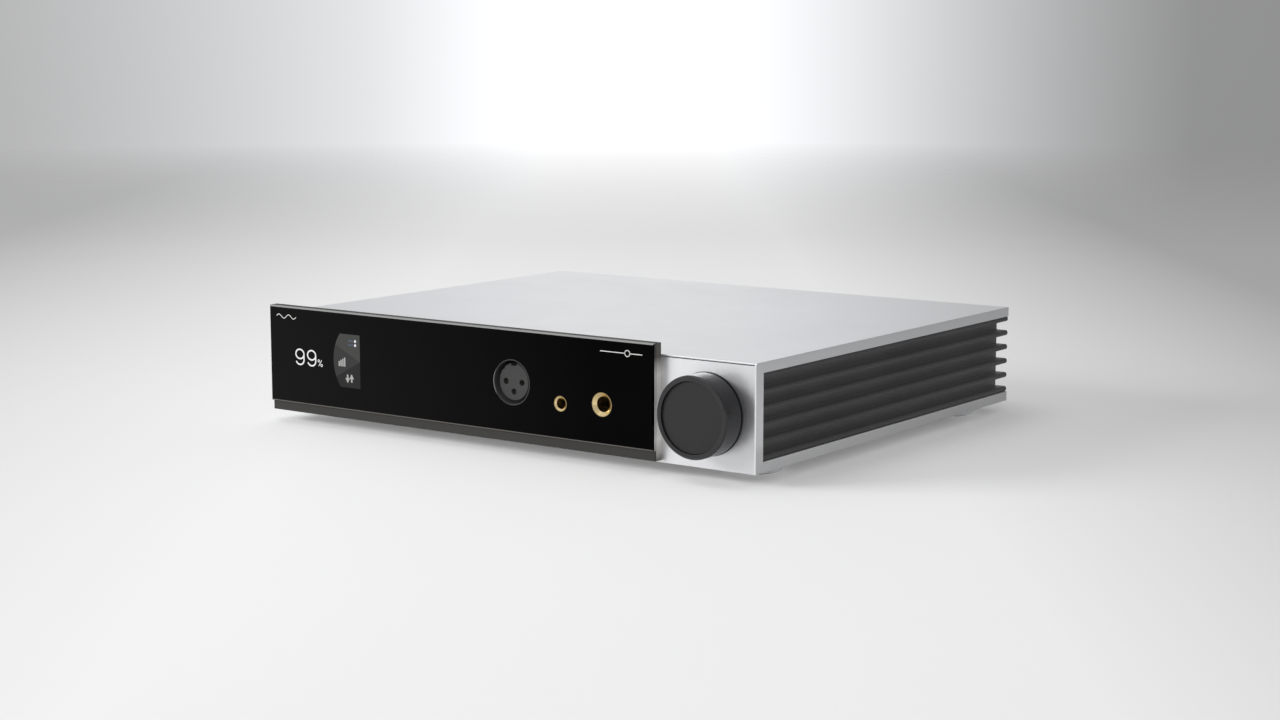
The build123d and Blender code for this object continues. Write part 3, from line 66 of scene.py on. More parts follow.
def make_floor():
    """A wide pale floor, with painted shade that makes it greyer to the right and to the far left, that
    fades out into the studio.
    """
    mesh = bpy.data.meshes.new("floor")
    made = bmesh.new()
    bmesh.ops.create_circle(made, cap_ends=True, segments=96, radius=9.0)
    made.to_mesh(mesh)
    made.free()
    floor = bpy.data.objects.new("floor", mesh)
    bpy.context.scene.collection.objects.link(floor)
    paper = Finish("floor_paper", (0.80, 0.80, 0.80), roughness=0.9, specular=0.1)
    paper.clouds(0.02, scale=3.0)
    across = paper.along(ACROSS_BACKDROP)
    # painted shade: grey towards the right and towards the far left
    paper.tint(paper.spread(across, 0.0, 1.0, 0.12, 0.42), (0.40, 0.40, 0.40))
    paper.tint(paper.spread(across, 1.0, 0.0, -0.55, -0.15), (0.42, 0.42, 0.42))
    fade = paper.spread(paper.distance((0, 0, 0)), 1.0, 0.0, 0.9, 2.4)
    paper.links.new(fade, paper.shader.inputs["Alpha"])
    floor.data.materials.append(paper.done())


def soft_light(name, place, target, size, power):
    """A rectangular softbox aimed at a point."""
    data = bpy.data.lights.new(name, "AREA")
    data.shape = "RECTANGLE"
    data.size, data.size_y = size
    data.energy = power
    lamp = bpy.data.objects.new(name, data)
    lamp.location = place
    aim = Vector(target) - Vector(place)
    lamp.rotation_euler = aim.to_track_quat("-Z", "Y").to_euler()
    bpy.context.scene.collection.objects.link(lamp)


def make_lights():
    """A low key from the front left, a soft one overhead, a small edge light low on the right, and
    an even fill from above right that casts no shadow."""
    soft_light("key_softbox", (-1.75, -1.70, 0.85), (0.05, -0.10, 0.03), (1.1, 0.7), 46.0)
    soft_light("top_softbox", (-0.20, -0.25, 1.10), (0, -0.05, 0.03), (0.9, 0.7), 2.6)
    soft_light("edge_softbox", (1.30, -0.98, 0.14), (0.10, -0.10, 0.03), (0.16, 0.24), 1.2)
    data = bpy.data.lights.new("floor_fill", "SUN")
    data.energy = 0.85
    data.use_shadow = False
    lamp = bpy.data.objects.new("floor_fill", data)
    from_right = math.radians(24)
    lamp.rotation_euler = (0, from_right, 0)
    bpy.context.scene.collection.objects.link(lamp)


def make_world():
    """A pale studio: a bright upright band on the backdrop behind the object, darker to its sides."""
    world = bpy.data.worlds.new("studio")
    bpy.context.scene.world = world
    world.use_nodes = True
    nodes, links = world.node_tree.nodes, world.node_tree.links
    place = nodes.new("ShaderNodeTexCoord")

    def towards(direction, stops, tint=(1, 1, 1)):
        """Levels of a tint by how far a ray points towards a direction: stops are (cosine, level)."""
        lean = nodes.new("ShaderNodeVectorMath")
        lean.operation = "DOT_PRODUCT"
        lean.inputs[1].default_value = Vector(direction).normalized()
        links.new(place.outputs["Generated"], lean.inputs[0])
        first, last = stops[0][0], stops[-1][0]
        span = nodes.new("ShaderNodeMapRange")
        span.inputs["From Min"].default_value = first
        span.inputs["From Max"].default_value = last
        links.new(lean.outputs["Value"], span.inputs["Value"])
        ramp = nodes.new("ShaderNodeValToRGB")
        ramp.color_ramp.interpolation = "B_SPLINE"
        while len(ramp.color_ramp.elements) < len(stops):
            ramp.color_ramp.elements.new(0.5)
        for element, (cosine, level) in zip(ramp.color_ramp.elements, stops):
            element.position = (cosine - first) / (last - first)
            element.color = (*[level * c for c in tint], 1)
        links.new(span.outputs["Result"], ramp.inputs["Fac"])
        return ramp.outputs["Color"]

    def blend(mode, a, b):
        mix = nodes.new("ShaderNodeMix")
        mix.data_type = "RGBA"
        mix.blend_type = mode
        mix.inputs["Factor"].default_value = 1.0
        links.new(a, mix.inputs["A"])
        links.new(b, mix.inputs["B"])
        return mix.outputs["Result"]

    edges = ((-0.42, 0.0), (-0.30, 0.06), (-0.12, 0.62), (0.0, 1.34), (0.12, 0.55), (0.24, 0.0))
    band = towards(ACROSS_BACKDROP, edges, tint=(0.98, 0.99, 1.02))
    rear_half = towards(INTO_BACKDROP, ((0.0, 0.0), (0.5, 1.0)))
    height = towards(UP, ((-0.3, 1.0), (0.25, 1.0), (0.75, 0.0)))
    glow = blend("MULTIPLY", blend("MULTIPLY", band, rear_half), height)
    key_side = (-0.62, -0.62, 0.48)
    dome = towards(key_side, ((-0.8, 0.14), (0.0, 0.27), (0.5, 0.50), (1.0, 0.70)))
    links.new(blend("ADD", dome, glow), nodes["Background"].inputs["Color"])


# ---------------------------------------------------------------- materials
class Finish:
    """A material being built: one Principled shader, with colour, roughness and bump added in layers.
    Every pattern is placed by object coordinates, in metres, so it stays on the surface."""

    def __init__(self, name, colour, metallic=0.0, roughness=0.5, specular=0.5):
        self.material = bpy.data.materials.new(name)
        self.material.use_nodes = True
        self.nodes = self.material.node_tree.nodes
        self.links = self.material.node_tree.links
        self.shader = self.nodes["Principled BSDF"]
        self.shader.inputs["Metallic"].default_value = metallic
        self.shader.inputs["Specular IOR Level"].default_value = specular
        self.roughness = roughness
        self.shader.inputs["Roughness"].default_value = roughness
        self.shader.inputs["Base Color"].default_value = (*colour, 1)
        self.colour = (*colour, 1)
        source = self.nodes.new("ShaderNodeTexCoord")
        self.coordinates = source.outputs["Object"]
        self.normals = source.outputs["Normal"]
        self.colour_output = None
        self.rough_output = None
        self.normal_output = None

    def set(self, socket, value):
        """Sets one of the shader's own sockets."""
        self.shader.inputs[socket].default_value = value
        return self

    def noise(self, scale, stretch=(1, 1, 1), detail=3.0):
        """A noise value, with `scale` cells to the metre, drawn out along an axis of small stretch."""
        space = self.nodes.new("ShaderNodeMapping")
        space.inputs["Scale"].default_value = stretch
        self.links.new(self.coordinates, space.inputs["Vector"])
        texture = self.nodes.new("ShaderNodeTexNoise")
        texture.inputs["Scale"].default_value = scale
        texture.inputs["Detail"].default_value = detail
        self.links.new(space.outputs["Vector"], texture.inputs["Vector"])
        return texture.outputs["Fac"]

    def spread(self, value, low, high, from_low=0.3, from_high=0.7):
        """Maps one range of numbers to another, held at its ends. Noise lies mostly in 0.3 to 0.7."""
        span = self.nodes.new("ShaderNodeMapRange")
        span.inputs["From Min"].default_value = from_low
        span.inputs["From Max"].default_value = from_high
        span.inputs["To Min"].default_value = low
        span.inputs["To Max"].default_value = high
        self.links.new(value, span.inputs["Value"])
        return span.outputs["Result"]

    def tint(self, factor, colour):
        """Mixes a colour in where factor is high."""
        mix = self.nodes.new("ShaderNodeMix")
        mix.data_type = "RGBA"
        self.links.new(factor, mix.inputs["Factor"])
        if self.colour_output is None:
            mix.inputs["A"].default_value = self.colour
        else:
            self.links.new(self.colour_output, mix.inputs["A"])
        mix.inputs["B"].default_value = (*colour, 1)
        self.colour_output = mix.outputs["Result"]
        return self

    def clouds(self, amount, scale):
        """Slow, faint changes of shade."""
        dark = [c * 0.6 for c in self.colour[:3]]
        return self.tint(self.spread(self.noise(scale), 0.0, amount * 2), dark)

    def uneven(self, amount, scale, stretch=(1, 1, 1)):
        """Changes of gloss."""
        low, high = self.roughness - amount, self.roughness + amount
        self.rough_output = self.spread(self.noise(scale, stretch), low, high)
        return self

    def bump(self, value, depth, strength=1.0):
        """Adds relief, `depth` metres high, on top of any that is there."""
        relief = self.nodes.new("ShaderNodeBump")
        relief.inputs["Strength"].default_value = strength
        relief.inputs["Distance"].default_value = depth
        self.links.new(value, relief.inputs["Height"])
        if self.normal_output is not None:
            self.links.new(self.normal_output, relief.inputs["Normal"])
        self.normal_output = relief.outputs["Normal"]
        return self

    def blasted(self, grain, depth):
        """The fine, even grain of a blasted or moulded surface."""
        return self.bump(self.noise(1 / grain, detail=2.0), depth)

    def brushed(self, stretch, grain, depth):
        """Fine parallel lines along the axis that has the small stretch."""
        return self.bump(self.noise(1 / grain, stretch, detail=4.0), depth)

    def turned(self, node, pitch, depth):
        """Fine rings round the middle of a node that faces the front, as a lathe leaves them."""
        low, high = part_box(node)
        reach = self.distance((low + high) / 2, axes=(1, 0, 1))
        wave = self.work("PINGPONG", reach, pitch / 2)
        return self.bump(self.spread(wave, 0.0, 1.0, 0.0, pitch / 2), depth)

    def wear_and_edge_highlight(self, colour, width, amount):
        """Paler edges: partly wear, where handling has rubbed the finish, and partly a painted
        highlight, where the edges would catch the light.
        """
        soft = self.nodes.new("ShaderNodeBevel")
        soft.samples = 4
        soft.inputs["Radius"].default_value = width
        flat = self.nodes.new("ShaderNodeNewGeometry")
        turn = self.nodes.new("ShaderNodeVectorMath")
        turn.operation = "DOT_PRODUCT"
        self.links.new(soft.outputs["Normal"], turn.inputs[0])
        self.links.new(flat.outputs["Normal"], turn.inputs[1])
        # paler edges, partly wear and partly painted highlight
        return self.tint(self.spread(turn.outputs["Value"], amount, 0.0, 0.80, 0.99), colour)

    def work(self, operation, *values):
        """One step of arithmetic on other nodes' values or plain numbers."""
        step = self.nodes.new("ShaderNodeMath")
        step.operation = operation
        for value, socket in zip(values, step.inputs):
            if isinstance(value, float):
                socket.default_value = value
            else:
                self.links.new(value, socket)
        return step.outputs["Value"]

    def lean(self, vector, direction):
        """How far a vector reaches along a direction."""
        product = self.nodes.new("ShaderNodeVectorMath")
        product.operation = "DOT_PRODUCT"
        product.inputs[1].default_value = direction
        self.links.new(vector, product.inputs[0])
        return product.outputs["Value"]

    def along(self, direction):
        """Where the surface is along a direction, in metres from the origin."""
        return self.lean(self.coordinates, direction)

    def distance(self, centre, axes=(1, 1, 1)):
        """How far the surface is from a centre, over the axes that are 1."""
        offset = self.nodes.new("ShaderNodeVectorMath")
        offset.operation = "MULTIPLY_ADD"
        offset.inputs[1].default_value = axes
        offset.inputs[2].default_value = [-c * axis for c, axis in zip(centre, axes)]
        self.links.new(self.coordinates, offset.inputs[0])
        reach = self.nodes.new("ShaderNodeVectorMath")
        reach.operation = "LENGTH"
        self.links.new(offset.outputs["Vector"], reach.inputs[0])
        return reach.outputs["Value"]

    def facing(self, direction, low, high):
        """One where the surface faces a direction: the mask rises between two cosines."""
        return self.spread(self.lean(self.normals, direction), 0.0, 1.0, low, high)

    def both(self, a, b):
        """Where two masks overlap."""
        return self.work("MULTIPLY", a, b)

    def painted_end_light_and_shade(self, end_shade, end_light):
        """Paints light and shade on the panel's right end: painted light, bright beside the case, and
        painted shade, duller at the top and bottom.
        """
        height = self.along(UP)
        _, case_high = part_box("chassis_shell")
        low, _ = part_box("panel_frame")
        below = self.spread(height, 1.0, 0.0, case_high.z - 8.0 * MM, case_high.z - 1.0 * MM)
        above = self.spread(height, 0.0, 1.0, low.z, low.z + 9.0 * MM)
        side = self.facing(RIGHT, 0.8, 0.95)
        # painted shade over the whole right end, then painted light in its middle
        return self.tint(side, end_shade).tint(self.both(side, self.both(below, above)), end_light)

    def done(self):
        """Links the layers to the shader, and gives the material."""
        for output, socket in (
            (self.colour_output, "Base Color"),
            (self.rough_output, "Roughness"),
            (self.normal_output, "Normal"),
        ):
            if output is not None:
                self.links.new(output, self.shader.inputs[socket])
        return self.material


def satin_aluminium():
    """Silver anodising, with painted shade that makes it darker along the foot of the side walls, the
    more so to the rear, and towards the right of the front."""
    finish = Finish("satin_aluminium", (0.80, 0.805, 0.82), metallic=1.0, roughness=0.35)
    finish.clouds(0.03, scale=9.0).uneven(0.018, scale=45.0)
    low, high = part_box("chassis_shell")
    foot = finish.spread(finish.along(UP), 1.0, 0.0, low.z + 8.0 * MM, low.z + 12.0 * MM)
    rearward = finish.spread(finish.along(REAR), 0.0, 1.0, low.y, high.y)
    # painted shade: the foot of each side wall is darker, the more so to the rear
    for side in (RIGHT, LEFT):
        band = finish.both(foot, finish.facing(side, 0.8, 0.95))
        finish.tint(band, (0.64, 0.643, 0.65)).tint(finish.both(band, rearward), (0.47, 0.471, 0.475))
    # painted shade: the front is darker towards its right
    _, frame_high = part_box("panel_frame")
    rightward = finish.spread(finish.along(RIGHT), 0.0, 1.0, frame_high.x, high.x)
    finish.tint(finish.both(finish.facing(FRONT, 0.8, 0.95), rightward), (0.68, 0.685, 0.70))
    return finish.blasted(grain=0.30 * MM, depth=0.002 * MM).done()


def turned_aluminium():
    """Bare aluminium with the fine rings that a lathe leaves round the feet."""
    finish = Finish("turned_aluminium", (0.74, 0.75, 0.77), metallic=1.0, roughness=0.30)
    finish.clouds(0.06, scale=30.0).uneven(0.05, scale=80.0)
    return finish.brushed((0.2, 0.2, 6.0), grain=0.5 * MM, depth=0.003 * MM).done()


def fin_anodised():
    """Black anodising, with painted light that makes it paler down between the fins than on their tips.
    """
    finish = Finish("fin_anodised", (0.060, 0.060, 0.061), metallic=0.1, roughness=0.5, specular=0.3)
    # painted light: paler down between the fins, where the fins shade the web
    sideways = finish.work("ABSOLUTE", finish.along(RIGHT))
    _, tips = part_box("heat_sink_right")
    depth = finish.spread(sideways, 1.0, 0.0, tips.x - 5.0 * MM, tips.x - 1.0 * MM)
    finish.tint(depth, (0.120, 0.119, 0.119))
    finish.tint(finish.spread(finish.noise(20.0), 0.0, 0.25), (0.03, 0.03, 0.03))
    finish.uneven(0.05, scale=60.0, stretch=(1, 0.05, 1))
    return finish.brushed((1, 0.02, 1), grain=0.4 * MM, depth=0.003 * MM).done()


def dark_anodised():
    """Dark grey anodising for the rear and bottom, with paler edges, partly wear and partly a painted
    highlight.
    """
    finish = Finish("dark_anodised", (0.085, 0.084, 0.080), metallic=0.6, roughness=0.34)
    finish.clouds(0.10, scale=25.0).uneven(0.04, scale=70.0)
    # paler edges: wear and painted highlight
    finish.wear_and_edge_highlight((0.20, 0.20, 0.195), width=0.25 * MM, amount=0.5)
    return finish.blasted(grain=0.25 * MM, depth=0.002 * MM).done()


def frame_anodised():
    """Dull black-brown, with painted shade that makes it blacker on top, and painted light and shade on
    its right end.
    """
    finish = Finish("frame_anodised", (0.046, 0.045, 0.042), metallic=0.2, roughness=0.45, specular=0.1)
    finish.clouds(0.10, scale=25.0)
    # painted shade: blacker where it faces up
    finish.tint(finish.facing(UP, 0.4, 0.8), (0.004, 0.004, 0.004))
    # painted light and shade on the right end
    finish.painted_end_light_and_shade((0.14, 0.135, 0.125), (0.90, 0.89, 0.86)).uneven(0.04, scale=70.0)
    return finish.blasted(grain=0.25 * MM, depth=0.002 * MM).done()


def black_glass():
    """Almost black, with painted light that makes it a touch paler towards the left. The ground chamfer
    has a painted highlight, grey along its top edge and duller along its lower one."""
    finish = Finish("black_glass", (0.0004, 0.0004, 0.0004), roughness=0.05, specular=0.03)
    low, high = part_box("front_glass")
    # painted light: paler towards the left
    fade = finish.spread(finish.along(RIGHT), 1.0, 0.0, low.x, high.x - 30 * MM)
    finish.tint(fade, (0.0075, 0.0072, 0.0072)).uneven(0.012, scale=30.0)
    # painted light and shade on the glass's right end
    finish.painted_end_light_and_shade((0.10, 0.10, 0.095), (0.80, 0.79, 0.77))
    # painted highlight on the chamfer: grey along the top edge, duller along the lower one
    front = finish.facing(FRONT, 0.3, 0.6)
    finish.tint(finish.both(front, finish.facing(UP, 0.4, 0.6)), (0.25, 0.25, 0.245))
    return finish.tint(finish.both(front, finish.facing(DOWN, 0.4, 0.6)), (0.14, 0.13, 0.12)).done()


def knob_side():
    """Glossy black anodising over fine turned rings, paler at the rim, partly rubbed and partly a
    painted highlight.
    """
    finish = Finish("knob_anodised", (0.020, 0.020, 0.022), metallic=0.35, roughness=0.30)
    finish.clouds(0.15, scale=60.0).uneven(0.04, scale=200.0)
    # paler edges: wear and painted highlight
    finish.wear_and_edge_highlight((0.13, 0.13, 0.135), width=0.25 * MM, amount=0.6)
    finish.turned("knob", pitch=0.34 * MM, depth=0.02 * MM)
    return finish.blasted(grain=0.2 * MM, depth=0.002 * MM).done()


def knob_disc():
    """The matte disc set in the knob's face."""
    finish = Finish("knob_disc", (0.020, 0.020, 0.0205), roughness=0.55, specular=0.2)
    finish.clouds(0.08, scale=50.0).uneven(0.04, scale=150.0)
    # paler edges: wear and painted highlight
    finish.wear_and_edge_highlight((0.09, 0.09, 0.09), width=0.2 * MM, amount=0.5)
    return finish.blasted(grain=0.22 * MM, depth=0.003 * MM).done()


def gold_plate():
    """Gold, with painted shade that makes it darker on the flat rims and on the upper side of each
    funnel, which faces down.
    """
    finish = Finish("gold_plate", (0.93, 0.74, 0.40), metallic=1.0, roughness=0.20)
    finish.clouds(0.10, scale=150.0).uneven(0.05, scale=300.0)
    # painted shade: darker where the funnel faces down and on the flat rims
    finish.tint(finish.facing((0.3, 0, -0.9), 0.1, 0.7), (0.50, 0.36, 0.17))
    finish.tint(finish.facing(FRONT, 0.97, 0.995), (0.42, 0.32, 0.16))
    return finish.brushed((1, 6, 1), grain=0.4 * MM, depth=0.002 * MM).done()


def moulded_plastic(name, colour, roughness):
    """Moulded plastic, finely grained and paler at its edges, partly rubbed and partly a painted
    highlight.
    """
    finish = Finish(name, colour, roughness=roughness, specular=0.4)
    finish.clouds(0.12, scale=60.0).uneven(0.05, scale=150.0)
    pale = [min(1.0, c * 1.6 + 0.03) for c in colour]
    # paler edges: wear and painted highlight
    finish.wear_and_edge_highlight(pale, width=0.2 * MM, amount=0.3)
    return finish.blasted(grain=0.3 * MM, depth=0.006 * MM).done()


def plated_steel(name, colour, roughness, metallic=1.0):
    """Plated or painted steel, brighter at its edges, partly rubbed and partly a painted highlight."""
    finish = Finish(name, colour, metallic=metallic, roughness=roughness)
    finish.clouds(0.15, scale=80.0).uneven(0.06, scale=200.0)
    pale = [min(1.0, c * 1.3 + 0.05) for c in colour]
    # paler edges: wear and painted highlight
    finish.wear_and_edge_highlight(pale, width=0.2 * MM, amount=0.4)
    return finish.brushed((1, 1, 4), grain=0.3 * MM, depth=0.002 * MM).done()


def circuit_board():
    """Solder mask with paler tracks and pads under it."""
    finish = Finish("circuit_board", (0.012, 0.060, 0.032), roughness=0.32)
    finish.clouds(0.2, scale=40.0)
    tracks = finish.nodes.new("ShaderNodeTexVoronoi")
    tracks.distance = "MANHATTAN"
    tracks.feature = "DISTANCE_TO_EDGE"
    tracks.inputs["Scale"].default_value = 260.0
    finish.links.new(finish.coordinates, tracks.inputs["Vector"])
    finish.tint(finish.spread(tracks.outputs["Distance"], 0.6, 0.0, 0.05, 0.09), (0.03, 0.15, 0.07))
    return finish.bump(finish.noise(900.0), 0.01 * MM).done()


def taped_coil():
    """Amber tape wound round the ring in overlapping turns."""
    finish = Finish("coil_tape", (0.52, 0.32, 0.06), roughness=0.28)
    finish.clouds(0.25, scale=30.0).uneven(0.08, scale=90.0)
    wraps = finish.nodes.new("ShaderNodeTexWave")
    wraps.wave_type = "RINGS"
    wraps.inputs["Scale"].default_value = 90.0
    wraps.inputs["Distortion"].default_value = 2.0
    finish.links.new(finish.coordinates, wraps.inputs["Vector"])
    return finish.bump(wraps.outputs["Fac"], 0.2 * MM, strength=0.6).done()


def clear_glass():
    """The fuse's clear tube."""
    finish = Finish("fuse_glass", (0.93, 0.96, 0.96), roughness=0.03)
    finish.set("Transmission Weight", 1.0).set("IOR", 1.48)
    return finish.clouds(0.05, scale=200.0).done()


def lit(name, colour, strength):
    """A lit part of the display, with the faint grid of its cells."""
    finish = Finish(name, [c * 0.05 for c in colour], roughness=0.4, specular=0.1)
    grid = finish.nodes.new("ShaderNodeTexChecker")
    grid.inputs["Scale"].default_value = 1 / (0.18 * MM)
    grid.inputs["Color1"].default_value = (*colour, 1)
    grid.inputs["Color2"].default_value = (*[c * 0.88 for c in colour], 1)
    finish.links.new(finish.coordinates, grid.inputs["Vector"])
    finish.links.new(grid.outputs["Color"], finish.shader.inputs["Emission Color"])
    return finish.set("Emission Strength", strength).done()


def printed(name, colour):
    """Screen-printed ink."""
    finish = Finish(name, colour, roughness=0.55, specular=0.3)
    finish.clouds(0.15, scale=300.0)
    return finish.blasted(grain=0.15 * MM, depth=0.004 * MM).done()


def paint(material, *names):
    """Gives CAD nodes their material."""
    for name in names:
        data = NODES[name].data
        data.materials.clear()
        data.materials.append(material)


def paint_nodes():
    """Every CAD node's material."""
    paint(satin_aluminium(), "chassis_shell", "front_plate")
    paint(turned_aluminium(), *(n for n in NODES if n.startswith("foot_") and n != "foot_pads"))
    paint(fin_anodised(), "heat_sink_left", "heat_sink_right")
    paint(dark_anodised(), "bottom_plate", "rear_panel")
    paint(frame_anodised(), "panel_frame")
    paint(black_glass(), "front_glass")
    paint(knob_side(), "knob")
    paint(knob_disc(), "knob_cap")
    paint(
        gold_plate(),
        "jack_635_bush", "jack_44_bush", "xlr_socket_contacts", "phono_shells", "xlr_out_pins",
    )
    paint(moulded_plastic("core_plastic", (0.024, 0.024, 0.025), roughness=0.6), "xlr_socket_core")
    paint(
        moulded_plastic("black_plastic", (0.016, 0.016, 0.017), roughness=0.42),
        "knob_seat_ring", "jack_635_body", "jack_44_body", "board_chips", "mains_inlet", "fuse_drawer",
        "switch_housing", "optical_socket", "display_module",
    )
    paint(moulded_plastic("rocker_plastic", (0.014, 0.014, 0.015), roughness=0.25), "switch_rocker")
    paint(moulded_plastic("shutter_plastic", (0.035, 0.035, 0.037), roughness=0.5), "optical_shutter")
    paint(
        moulded_plastic("white_plastic", (0.72, 0.71, 0.68), roughness=0.45),
        "encoder_plunger", "phono_insulators", "usb_tongue", "display_ribbon",
    )
    paint(moulded_plastic("pad_rubber", (0.022, 0.022, 0.022), roughness=0.85), "foot_pads")
    paint(moulded_plastic("wire_sleeve", (0.02, 0.03, 0.10), roughness=0.5), "mains_wires")
    paint(moulded_plastic("can_sleeve", (0.015, 0.018, 0.05), roughness=0.3), "filter_capacitors")
    paint(moulded_plastic("display_cell", (0.006, 0.006, 0.007), roughness=0.12), "display_screen")
    paint(
        plated_steel("black_steel", (0.030, 0.030, 0.032), roughness=0.38, metallic=0.7),
        "underside_screws", "rear_screws", "knob_set_screw", "transformer_clamp", "xlr_out_left",
        "xlr_out_right",
    )
    paint(
        plated_steel("shell_black", (0.034, 0.034, 0.035), roughness=0.6, metallic=0.2),
        "xlr_socket_shell",
    )
    paint(
        plated_steel("zinc_plate", (0.62, 0.62, 0.64), roughness=0.32),
        "internal_screws", "encoder_body", "encoder_shaft", "encoder_nut", "standoffs",
        "transformer_bolt", "mains_pins", "usb_socket",
    )
    paint(circuit_board(), "control_board", "headphone_board", "main_board", "power_board")
    paint(taped_coil(), "transformer_coil")
    paint(clear_glass(), "fuse")


# ---------------------------------------------------------------- flat marks, drawn as thin solids
def arc(centre, radii, start, end, steps):
    """Points along an ellipse, in degrees from +x towards +z."""
    spots = []
    for n in range(steps + 1):
        turn = math.radians(start + (end - start) * n / steps)
        spots.append((centre[0] + radii[0] * math.cos(turn), centre[1] + radii[1] * math.sin(turn)))
    return spots


def ring(centre, radii, sides=24):
    """The corners of a closed ring of straight sides."""
    return arc(centre, radii, 0, 360 - 360 / sides, sides - 1)


def outline(path, width, closed=False):
    """The two sides of a stroke of even width along a path, as quads' corner points."""
    spots = [Vector(p) for p in path]
    count = len(spots)
    sides = []
    for n, spot in enumerate(spots):
        before = spots[(n - 1) % count] if closed or n > 0 else spot
        after = spots[(n + 1) % count] if closed or n < count - 1 else spot
        along = (after - before).normalized()
        across = Vector((-along.y, along.x)) * width / 2
        sides.append((spot + across, spot - across))
    return sides


class Mark:
    """Thin flat shapes on one plane of the object, gathered in one mesh. Shapes are drawn in
    millimetres, x to the right and z up as seen by someone who faces that plane."""

    def __init__(self, name, origin, right=RIGHT, up=UP, proud=0.04):
        self.name = name
        self.origin = Vector(origin)
        self.right = Vector(right)
        self.up = Vector(up)
        self.out = self.right.cross(self.up)
        self.proud = proud
        self.mesh = bmesh.new()

    def place(self, spot, height):
        """A drawn spot's place on the object, some way out from the plane."""
        return self.origin + (self.right * spot[0] + self.up * spot[1] + self.out * height) * MM

    def prism(self, corners):
        """A closed slab over one outline, half of it sunk in the surface."""
        low = [self.mesh.verts.new(self.place(p, -self.proud)) for p in corners]
        high = [self.mesh.verts.new(self.place(p, self.proud)) for p in corners]
        count = len(corners)
        self.mesh.faces.new(high)
        self.mesh.faces.new(low[::-1])
        for n in range(count):
            m = (n + 1) % count
            self.mesh.faces.new((low[n], low[m], high[m], high[n]))

    def stroke(self, path, width, closed=False):
        """A slab of even width along a path."""
        sides = outline(path, width, closed)
        count = len(sides)
        rings = [
            [
                self.mesh.verts.new(self.place(a, -self.proud)),
                self.mesh.verts.new(self.place(b, -self.proud)),
                self.mesh.verts.new(self.place(b, self.proud)),
                self.mesh.verts.new(self.place(a, self.proud)),
            ]
            for a, b in sides
        ]
        for n in range(count if closed else count - 1):
            here, there = rings[n], rings[(n + 1) % count]
            for k in range(4):
                m = (k + 1) % 4
                self.mesh.faces.new((here[k], here[m], there[m], there[k]))
        if not closed:
            self.mesh.faces.new(rings[0][::-1])
            self.mesh.faces.new(rings[-1])

    def dot(self, spot, radius):
        """A round slab."""
        self.prism(ring(spot, (radius, radius)))

    def arrow(self, spot, way, width, half_length, head):
        """An upright arrow about a spot: way is 1 for up and -1 for down. The head is its half width,
        and how far beyond the spot its foot and its tip are."""
        x, z = spot
        half_head, foot, tip = head
        foot_z = z + way * foot
        self.stroke([(x, z - half_length), (x, z + half_length)], width)
        self.prism([(x - half_head, foot_z), (x + half_head, foot_z), (x, z + way * tip)])

    def done(self, material, body, slot):
        """Makes the mesh a piece that rides on a body."""
        bmesh.ops.recalc_face_normals(self.mesh, faces=self.mesh.faces)
        data = bpy.data.meshes.new(self.name)
        self.mesh.to_mesh(data)
        self.mesh.free()
        data.materials.append(material)
        piece = bpy.data.objects.new(self.name, data)
        bpy.context.scene.collection.objects.link(piece)
        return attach(piece, body)


def draw_nine(mark, x, z):
    """A nine of thin round strokes: a ring, and a hook that runs down its right side and under it."""
    stroke = 0.66
    half_width = 2.48
    ring_centre = (x, z + 0.42)
    hook_centre = (x, z - 2.1)
    mark.stroke(ring(ring_centre, (half_width, 2.10), 45), stroke, closed=True)
    hook = arc(hook_centre, (half_width, 2.22), 0, -158, 28)
    mark.stroke([(x + half_width, ring_centre[1]), *hook], stroke)


def draw_percent(mark, x, z):
    """A slanted bar between two small rings."""
    stroke = 0.32
    mark.stroke([(x - 0.95, z - 1.35), (x + 0.95, z + 1.35)], stroke)
    for side in (-1, 1):
        spot = (x + side * 0.85, z - side * 0.95)
        mark.stroke(ring(spot, (0.5, 0.5), 18), stroke, closed=True)


